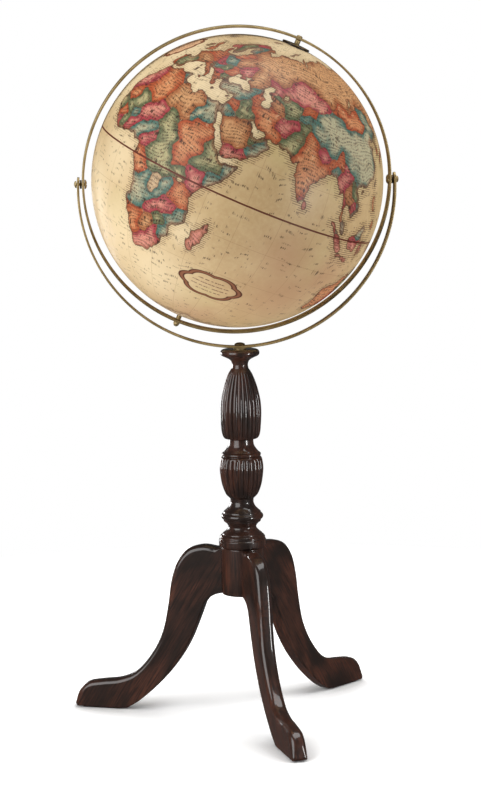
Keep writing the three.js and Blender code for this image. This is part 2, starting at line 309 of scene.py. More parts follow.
def lacquered_wood():
    """Espresso-stained cherry under a thick gloss lacquer; the grain attribute's Z lies along the fibres."""
    n = Nodes("lacquered_wood", coat_weight=1.0, coat_roughness=0.06, coat_ior=1.5, specular_ior_level=0.25)
    grain = n.attribute("grain")
    fibres = grain.scaled((0.8, 0.8, 0.03)).noise(1.0, 5.0, 0.6, 0.35)
    glow = grain.scaled((0.03, 0.03, 0.009)).noise(1.0, 2.0, 0.5, 0.8)
    pores = grain.scaled((2.6, 2.6, 0.16)).noise(1.0, 2.0)
    stain = n.mix(glow.ramp(0.36, 0.68), (36, 23, 17), (80, 43, 28))
    streaks = n.mix(fibres.ramp(0.28, 0.68), (29, 19, 15), stain)
    colour = n.mix(pores.ramp(0.56, 0.72, 0.0, 0.4), streaks, (18, 13, 11))
    return n.finished(colour, fibres.ramp(0.3, 0.7, 0.34, 0.5), fibres + pores * 0.4, 0.00004, 0.35)


def brass(name, bright, dull, dark, roughness):
    """Aged brass, drawn along its length, with darker tarnish in patches and fine scratches."""
    n = Nodes(name, metallic=0.75)
    grain = n.attribute("grain")
    patches = grain.noise(0.03, 3.0, 0.55)
    specks = grain.noise(0.5, 3.0, 0.6)
    drawn = grain.scaled((0.06, 9.0, 9.0)).noise(0.25, 3.0, 0.6)
    worn = n.mix(patches.ramp(0.34, 0.66), dull, bright)
    colour = n.mix(specks.ramp(0.6, 0.8, 0.0, 0.3), worn, dark)
    uneven = (drawn + patches).ramp(0.7, 1.3, roughness, roughness + 0.16)
    return n.finished(colour, uneven, drawn, 0.00002, 0.15)


def zinc_steel():
    """Zinc-plated fasteners, faintly yellowed and matt in patches."""
    n = Nodes("zinc_steel", metallic=1.0)
    patches = n.add("ShaderNodeTexCoord", output="Object").noise(160.0, 4.0, 0.6)
    colour = n.mix(patches.ramp(0.35, 0.7), (176, 178, 180), (142, 138, 126))
    return n.finished(colour, patches.ramp(0.3, 0.7, 0.26, 0.46), patches, 0.00002, 0.4)


def speckled(name, light, dark, scale, roughness, depth):
    """A plain rough solid with fine mottling, for board, felt and moulded plastic."""
    n = Nodes(name)
    mottle = n.add("ShaderNodeTexCoord", output="Object").noise(scale, 5.0, 0.65)
    uneven = mottle.ramp(0.3, 0.7, roughness - 0.06, roughness + 0.06)
    return n.finished(n.mix(mottle.ramp(0.35, 0.68), dark, light), uneven, mottle, depth, 0.6)


DIAL_RADIUS = 20.0
HOUR_CIRCLES = (18.9, 9.0)
# Strokes round the dial, the radius where they start, and half their width.
HOUR_STROKES = ((24, 15.2, 0.32), (96, 17.4, 0.16))


def dial_enamel():
    """Black enamel with gold hour strokes; the grain attribute is the dial's own place about the pole."""
    n = Nodes("dial_enamel", coat_weight=0.15, coat_roughness=0.3, specular_ior_level=0.25)
    grain = n.attribute("grain")
    x, y, _ = grain.parts()
    radius = (x * x + y * y).math("SQRT")
    turn = y.math("ARCTAN2", x) / (2 * math.pi)
    marks = None
    for count, inner, half in HOUR_STROKES:
        off = abs((turn * count).math("FRACT") - 0.5) * radius * (2 * math.pi / count)
        stroke = off.line(half) * radius.ramp(inner - 0.1, inner + 0.1)
        stroke = stroke * radius.line(HOUR_CIRCLES[0] - 0.1, 0.1)
        marks = stroke if marks is None else marks.math("MAXIMUM", stroke)
    for circle in HOUR_CIRCLES:
        marks = marks.math("MAXIMUM", abs(radius - circle).line(0.21, 0.05))
    rubbed = grain.noise(0.5, 4.0, 0.6)
    enamel = n.mix(rubbed.ramp(0.4, 0.7), (20, 16, 13), (48, 33, 22))
    return n.finished(n.mix(marks, enamel, (196, 158, 92)), rubbed.ramp(0.3, 0.7, 0.28, 0.5))


MATERIALS = {
    "lacquered_wood": lacquered_wood(),
    "antique_brass": brass("antique_brass", (190, 168, 122), (162, 140, 96), (118, 98, 62), 0.42),
    "dark_brass": brass("dark_brass", (96, 78, 50), (58, 47, 31), (28, 23, 17), 0.3),
    "zinc_steel": zinc_steel(),
    "dial_enamel": dial_enamel(),
    "pressed_board": speckled("pressed_board", (158, 136, 104), (112, 93, 66), 900.0, 0.88, 0.0003),
    "bearing_plastic": speckled("bearing_plastic", (62, 57, 50), (44, 40, 35), 1400.0, 0.5, 0.00005),
    "felt": speckled("felt", (58, 42, 34), (30, 21, 17), 2600.0, 0.95, 0.0004),
}


# ---- column ----
HUB_FOOT, HUB_TOP, COLUMN_JOIN, COLUMN_HEAD = 177, 245, 400, 527.5      # heights
GAP = 0.3                   # between pieces that touch
REEDS = 24
REED_SEGMENTS = REEDS * 14  # points round the column
REED_DEPTH = 0.066          # share of the radius
REED_BULGE = 0.93           # share of a half circle's width that a reed's section takes in
REED_START = 3              # height over which the reeds deepen at their foot
SCREW_BORE = 4.3
INSERT_BORE = 6.3


def reeded(bottom, top, tip):
    """Ribs from bottom to top, which fade into the neck over the last stretch, tip millimetres long."""
    def shaped(turns, radii, heights):
        across_reed = np.abs((turns * REEDS / (2 * math.pi)) % 1 * 2 - 1)
        flat = math.sqrt(1 - REED_BULGE ** 2)
        dome = (np.sqrt(1 - (REED_BULGE * across_reed) ** 2) - flat) / (1 - flat)
        rise = fade(heights, bottom, bottom + REED_START) * fade(heights, top, top - tip)
        return np.where(radii > INSERT_BORE + 1, radii * (1 - REED_DEPTH * rise * (1 - dome)), radii)
    return shaped


def add_wood(name, node, profile, segments, shaped=None, closed=False):
    add_piece(name, node, "pedestal", "lacquered_wood", turned(profile, segments, shaped, closed))


def column_top():
    foot = [(SCREW_BORE, COLUMN_JOIN), (18.6, COLUMN_JOIN), (23.6, COLUMN_JOIN + 1)]
    vase = smooth([(25.6, 403.6), (27.6, 412), (29.1, 433), (28.8, 449), (26.6, 463), (22.6, 478),
                   (17.4, 491.5), (13.9, 497.6)], 110)
    neck = smooth([(11.9, 500.6), (11.2, 506), (13.2, 511.6), (18.6, 515.2), (24.6, 517.9)], 26)
    cap = arc((22.6, COLUMN_HEAD - 5.1), 5.1, -40, 90, 16)
    rim = (INSERT_BORE, COLUMN_HEAD)
    screw_end, insert_end = 430, 496.5
    profile = [(0, screw_end), (SCREW_BORE, screw_end)] + eased(foot + vase + neck + cap + [rim], 1.2)
    profile += [(INSERT_BORE, insert_end), (0, insert_end)]
    add_wood("reeded_vase", "column_top", profile, REED_SEGMENTS, reeded(bottom=400.5, top=499.5, tip=9))


def column_middle():
    low, high = (SCREW_BORE, HUB_TOP), (SCREW_BORE, COLUMN_JOIN - GAP)
    collar = [(31.6, HUB_TOP), (33.6, 247.4), (33.6, 255.6), (32.0, 257.2), (32.3, 259.6)]
    arris = [(30.6, 262.2), (28.4, 263.2), (28.2, 264.6)]
    lower_cove = smooth([(28.2, 264.6), (22.2, 269.6), (19.8, 274.2), (22.4, 279), (26.4, 282.2)], 18)[1:]
    bead = [(26.6, 284.4)] + arc((25.4, 289.4), 4.5, -62, 62, 12) + [(26.7, 294.4), (26.4, 296)]
    upper_cove = smooth([(26.2, 296), (19.6, 302.4), (16.6, 308.5), (16.5, 313)], 16)[1:]
    bulb = smooth([(16.7, 315), (18.6, 316.6), (23.3, 322), (28.2, 335.5), (30.7, 352), (30.9, 362),
                   (29.4, 371.6), (27.6, 374.6)], 60)
    ring = [(26.2, 375.2), (26.2, 376)] + arc((25.2, 378.2), 2.6, -50, 70, 8) + [(24.6, 381.6)]
    shoulder = smooth([(24.4, 382), (21.2, 386), (18.1, 391.6), (17.2, high[1])], 15)
    outside = eased([low] + collar + arris + lower_cove + bead + upper_cove + bulb + ring + shoulder + [high])
    bolt_end, screw_end = 285, 370
    profile = [(0, bolt_end), (SCREW_BORE, bolt_end)] + outside + [(SCREW_BORE, screw_end), (0, screw_end)]
    reeds = reeded(bottom=317, top=374.8, tip=6)
    add_wood("turned_baluster", "column_middle", profile, REED_SEGMENTS, reeds)


def hub():
    """A socket block, open below, that the legs are bolted to from inside."""
    wall, ceiling, top = 17, 230.7, HUB_TOP - GAP
    outside = eased([(wall, HUB_FOOT), (30.2, HUB_FOOT), (30.2, top), (SCREW_BORE, top)], 1.6, 5)
    profile = [(SCREW_BORE, ceiling), (wall, ceiling), (wall, HUB_FOOT)] + outside[1:]
    add_wood("hub_block", "hub", profile, 128, closed=True)


# ---- legs ----
LEG_AZIMUTHS = {"front": -78.3, "right": 41.7, "left": 161.7}
LEG_HALF_THICKNESS = 10.8
HUB_FACE = 30.6             # radius that the leg's root is coped to
LEG_ROOT = 24               # radius where its outline starts, inside the hub's face
FOOT_HEIGHT = 1.8
PLANK_SLOPE = math.radians(-58)     # direction of the fibres in the leg's own plane
TOP_ROUNDING, SOLE_ROUNDING = 7.5, 1.0
ROUNDING_STEPS = 7
TOE_STEPS = 8               # points at the toe over which the rounding tightens


def leg_outline():
    """The leg's edge as (radius, height, rounding), all round."""
    upper = smooth([(38, 244.2), (58, 246.2), (81, 238.4), (97, 218.6), (105.4, 190), (110.4, 157),
                    (119, 118.5), (135.5, 86), (159.5, 57.8), (183, 46), (211, 41.8), (234, 36.8),
                    (247, 24), (252.5, FOOT_HEIGHT + 4)], 120)
    lower = smooth([(174, FOOT_HEIGHT), (153.6, 14.8), (124.6, 40.6), (99, 70.5), (79.8, 101),
                    (66.6, 131), (55, 161.5)], 60)
    arch = smooth([(55, 161.5), (48.5, 169.6), (40, 175), (32, 177.4)], 12)[1:]
    edge = [(LEG_ROOT, 243.4, TOP_ROUNDING - 1)]
    for k, (r, z) in enumerate(upper):
        edge.append((r, z, TOP_ROUNDING - 0.5 * max(k - len(upper) + TOE_STEPS, 0)))
    edge += [(r, FOOT_HEIGHT, SOLE_ROUNDING) for r in (249.5, *np.linspace(246, 178, 18))]
    edge += [(r, z, SOLE_ROUNDING + 1.4 * fade(r, 34, 56)) for r, z in lower + arch]
    return np.array(edge + [(LEG_ROOT, 178, SOLE_ROUNDING)])


def leg_shape():
    """A flat board whose two faces meet the edge in roundings; local X points out from the column."""
    edge = leg_outline()
    along = np.roll(edge[:, :2], -1, 0) - np.roll(edge[:, :2], 1, 0)
    inward = np.c_[along[:, 1], -along[:, 0]] / np.linalg.norm(along, axis=1)[:, None]
    rounding = edge[:, 2]
    layers = []
    for side in (-1, 1):
        for turn in np.linspace(math.pi / 2, 0, ROUNDING_STEPS)[::-side]:
            inset = edge[:, :2] + inward * (rounding * (1 - math.cos(turn)))[:, None]
            y = side * (LEG_HALF_THICKNESS - rounding * (1 - math.sin(turn)))
            coped = np.sqrt(HUB_FACE ** 2 - y ** 2)
            layers.append(np.c_[np.maximum(inset[:, 0], coped), y, inset[:, 1]])
    return np.vstack(layers), capped_faces(len(layers), len(edge))


def leg(side, azimuth):
    shape = leg_shape()
    x, y, z = shape[0].T
    across_board = x * math.sin(PLANK_SLOPE) - z * math.cos(PLANK_SLOPE)
    along_board = x * math.cos(PLANK_SLOPE) + z * math.sin(PLANK_SLOPE)
    grain = np.c_[y * 0.35 + azimuth, across_board * 0.6, along_board]
    piece = add_piece(f"cabriole_leg_{side}", f"leg_{side}", "pedestal", "lacquered_wood", shape,
                      upright @ spin(azimuth, "Z"), grain)
    piece.modifiers.new("flat faces", "WEIGHTED_NORMAL").keep_sharp = True


def foot_pad(side, azimuth):
    """A stadium-shaped felt pad with soft edges, under one foot."""
    half, inner, outer = LEG_HALF_THICKNESS - 3, 181, 244.5
    centre, half_length = (inner + outer) / 2, 30
    ends = np.array(arc((outer - half, 0), half, -90, 90, 14) + arc((inner + half, 0), half, 90, 270, 14))
    layers = []
    for height, inset in ((0, 0.3), (0.35, 0.0), (1.2, 0.0), (1.5, 0.25)):
        x, y = centre + (ends[:, 0] - centre) * (1 - inset / half_length), ends[:, 1] * (1 - inset / half)
        layers.append(np.c_[x, y, np.full(len(ends), height)])
    shape = np.vstack(layers), capped_faces(len(layers), len(ends))
    add_piece(f"felt_pad_{side}", f"foot_pad_{side}", "pedestal", "felt", shape, upright @ spin(azimuth, "Z"))


# ---- rings ----
RING_WIDTH, RING_THICKNESS = 15.0, 3.2
MERIDIAN_INNER, CRADLE_INNER = 213.0, 220.0
CRADLE_DROP, CRADLE_END_RISE = 9.5, 10.0
RING_STEPS = 360
CRADLE_STEPS = 198
TIP_STEPS = 9


def bent_band(inner, turns, narrow):
    """A band's rounded section, as (across, outwards), swept about local Y. narrow is the share of the
    width at each turn."""
    half = RING_WIDTH / 2
    corners = [(-half, 0), (half, 0), (half, RING_THICKNESS), (-half, RING_THICKNESS)]
    section = eased(corners, 0.95, 4, closed=True)
    points, grain = [], []
    for turn, share in zip(turns, narrow):
        for across_band, out in section:
            radius = inner + out
            points.append((radius * math.cos(turn), across_band * share, radius * math.sin(turn)))
            grain.append((turn * inner, across_band, out))
    return np.array(points), np.array(grain), len(section)


def meridian_ring():
    turns = np.linspace(0, 2 * math.pi, RING_STEPS, endpoint=False)
    points, grain, count = bent_band(MERIDIAN_INNER, turns, np.ones(RING_STEPS))
    grain[:, 0] = MERIDIAN_INNER * np.repeat(np.abs(turns - math.pi), count)
    shape = points, sheet_faces(RING_STEPS, count, wrap_rows=True)
    add_piece("meridian_band", "meridian_ring", "meridian", "antique_brass", shape, ring_place, grain)


def cradle_ring():
    """A little more than half a ring, with round ends."""
    end = math.asin((CRADLE_DROP + CRADLE_END_RISE) / (CRADLE_INNER + RING_THICKNESS / 2))
    rounded = RING_WIDTH / 2 / CRADLE_INNER
    tip = np.radians(np.linspace(0, 90, TIP_STEPS + 1))[1:]
    rise = rounded * (1 - np.cos(tip))
    turns = np.linspace(rise[-1] - math.pi - end, end - rounded, CRADLE_STEPS + 2)[1:-1]
    turns = np.r_[rise - math.pi - end, turns, end - rise[::-1]]
    narrow = np.r_[np.sin(tip), np.ones(CRADLE_STEPS), np.sin(tip[::-1])]
    points, grain, count = bent_band(CRADLE_INNER, turns, narrow)
    place = pivots @ Matrix.Translation((0, 0, -CRADLE_DROP * MM))
    shape = points, capped_faces(len(turns), count)
    add_piece("cradle_band", "cradle_ring", "cradle", "antique_brass", shape, place, grain)


# ---- fasteners and bearings of the rings ----
SLOT_WIDTH, SLOT_DEPTH = 1.2, 1.0
PIN_RADIUS, SLEEVE_BORE = 1.8, 2.1
PIN_TIP = 191.2             # from the globe's centre, as all places on the pins are
MERIDIAN_OUTSIDE = MERIDIAN_INNER + RING_THICKNESS + GAP


def slotted(points, crown):
    """Presses a screwdriver slot into the crown of a head made with plenty of points."""
    x, y, z = points.T.copy()
    floor = crown - SLOT_DEPTH
    sink = fade(np.abs(x), SLOT_WIDTH / 2 + 0.12, SLOT_WIDTH / 2 - 0.02) * (z > floor)
    return np.c_[x, y, z - (z - floor) * sink]


def dome_profile(radius, height, seat, edge=0.2):
    """A round head from its flat seat to its crown."""
    dome = [(radius * math.cos(t), seat + height * (edge + (1 - edge) * math.sin(t)))
            for t in np.linspace(0, math.pi / 2, 22)]
    return eased([(0, seat), (radius - 0.05, seat)] + dome[:1], 0.25)[:-1] + dome


def round_head(radius, height, seat, shank, tip, slot=True):
    """A domed screw about local Z: its head's seat is at seat, and its shank ends at tip."""
    points, faces = turned(dome_profile(radius, height, seat), 96)
    if slot:
        points = slotted(points, seat + height)
    profile = [(0, tip), (shank - 0.3, tip), (shank, tip + 0.4), (shank, seat), (0, seat)]
    shaft, shaft_faces = turned(profile, 32)
    faces += [tuple(corner + len(points) for corner in face) for face in shaft_faces]
    return np.vstack([points, shaft]), faces


def acorn_nut(radius, height, base):
    """A hexagonal nut with a domed end, standing on base."""
    flank = height * 0.42
    chamfer = radius * 0.93
    apothem = radius * math.cos(math.pi / 6)
    dome = [(apothem * 0.97 * math.cos(t), base + flank + (height - flank) * math.sin(t))
            for t in np.linspace(0.12, math.pi / 2, 20)]
    profile = [(0, base), (chamfer, base), (radius, base + 0.35), (radius, base + flank - 0.4),
               (chamfer, base + flank)] + dome

    def hexagon(turns, radii, heights):
        return np.minimum(radii, apothem / np.cos((turns + math.pi / 6) % (math.pi / 3) - math.pi / 6))
    return turned(profile, 96, hexagon)


def tube(inner, outer, bottom, top):
    corners = [(inner, bottom), (outer, bottom), (outer, top), (inner, top)]
    return turned(eased(corners, 0.3, 3, closed=True), 64, closed=True)


def swivel():
    """The domed bolt and the washer on which the cradle swivels."""
    low, high = (corner.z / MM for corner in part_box("swivel_washer"))
    washer = tube(SCREW_BORE, 9, low, high)
    add_piece("brass_thrust_washer", "swivel_washer", "pedestal", "antique_brass", washer)
    low, high = (corner.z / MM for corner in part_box("swivel_bolt"))
    bolt = round_head(radius=7.5, height=4, seat=high - 4, shank=4, tip=low, slot=False)
    add_piece("domed_swivel_bolt", "swivel_bolt", "pedestal", "dark_brass", bolt)


def pivot(side, turn):
    """The screw, spacer and cap nut on which the meridian ring turns, on one side."""
    place = pivots @ spin(turn, "Z") @ spin(90, "Y")
    face = math.sqrt((CRADLE_INNER + RING_THICKNESS) ** 2 - CRADLE_DROP ** 2) + 0.45
    points, faces = round_head(radius=6.5, height=3.4, seat=0.5 - MERIDIAN_INNER, shank=2, tip=-face - 2.2)
    screw = points * (1, -1, -1), faces
    spacer = tube(2.3, 6, MERIDIAN_OUTSIDE, CRADLE_INNER - 0.9)
    nut = turned(dome_profile(radius=4.75, height=3.6, seat=face, edge=0.35))
    for name, node, slot, shape in (("pivot_screw_head", "pivot_screw", "antique_brass", screw),
                                    ("pivot_bearing_ring", "pivot_spacer", "dark_brass", spacer),
                                    ("pivot_cap_nut", "pivot_nut", "antique_brass", nut)):
        add_piece(f"{name}_{side}", f"{node}_{side}", "cradle", slot, shape, place)


def poles():
    """The pins, sleeves and nut that carry the ball in the meridian ring."""
    seat = MERIDIAN_OUTSIDE
    stud = [(0, PIN_TIP), (PIN_RADIUS, PIN_TIP), (PIN_RADIUS, seat + 4), (0, seat + 4)]
    pin = round_head(radius=4.2, height=2.6, seat=seat, shank=PIN_RADIUS, tip=PIN_TIP)
    for name, node, shape, place in (
            ("north_pole_screw", "north_pin", pin, polar_place),
            ("north_pole_sleeve", "north_sleeve", tube(SLEEVE_BORE, 3.75, 206.4, 212.6), polar_place),
            ("south_pole_stud", "south_stud", turned(eased(stud, 0.3), 32), south_place),
            ("south_pole_sleeve", "south_sleeve", tube(SLEEVE_BORE, 3.5, 204.2, 212.6), south_place),
            ("south_acorn_nut", "south_nut", acorn_nut(radius=4.85, height=6.8, base=seat), south_place)):
        add_piece(name, node, "meridian", "antique_brass", shape, place)


def hour_dial():
    """A shallow dished disc on the north pin, with a rolled rim."""
    under, thick = 203.9, 2.2
    rim, hole = math.asin(DIAL_RADIUS / under), math.asin(SLEEVE_BORE / under)
    top = [((under + thick) * math.sin(t), (under + thick) * math.cos(t))
           for t in np.linspace(rim * 0.975, hole, 26)]
    bottom = [(under * math.sin(t), under * math.cos(t)) for t in np.linspace(hole, rim, 8)]
    shape = turned(eased(top + bottom, 0.7, 4, closed=True), 128, closed=True)
    add_piece("hour_ring", "hour_dial", "hour_dial", "dial_enamel", shape, polar_place)


# ---- the map ----
def places(table):
    """An array for each name in the table, of the lon,lat pairs that follow it."""
    found = []
    for word in table.split():
        if word[0].isalpha():
            found.append([])
        else:
            found[-1].append([float(v) for v in word.split(",")])
    return [np.array(points) for points in found]


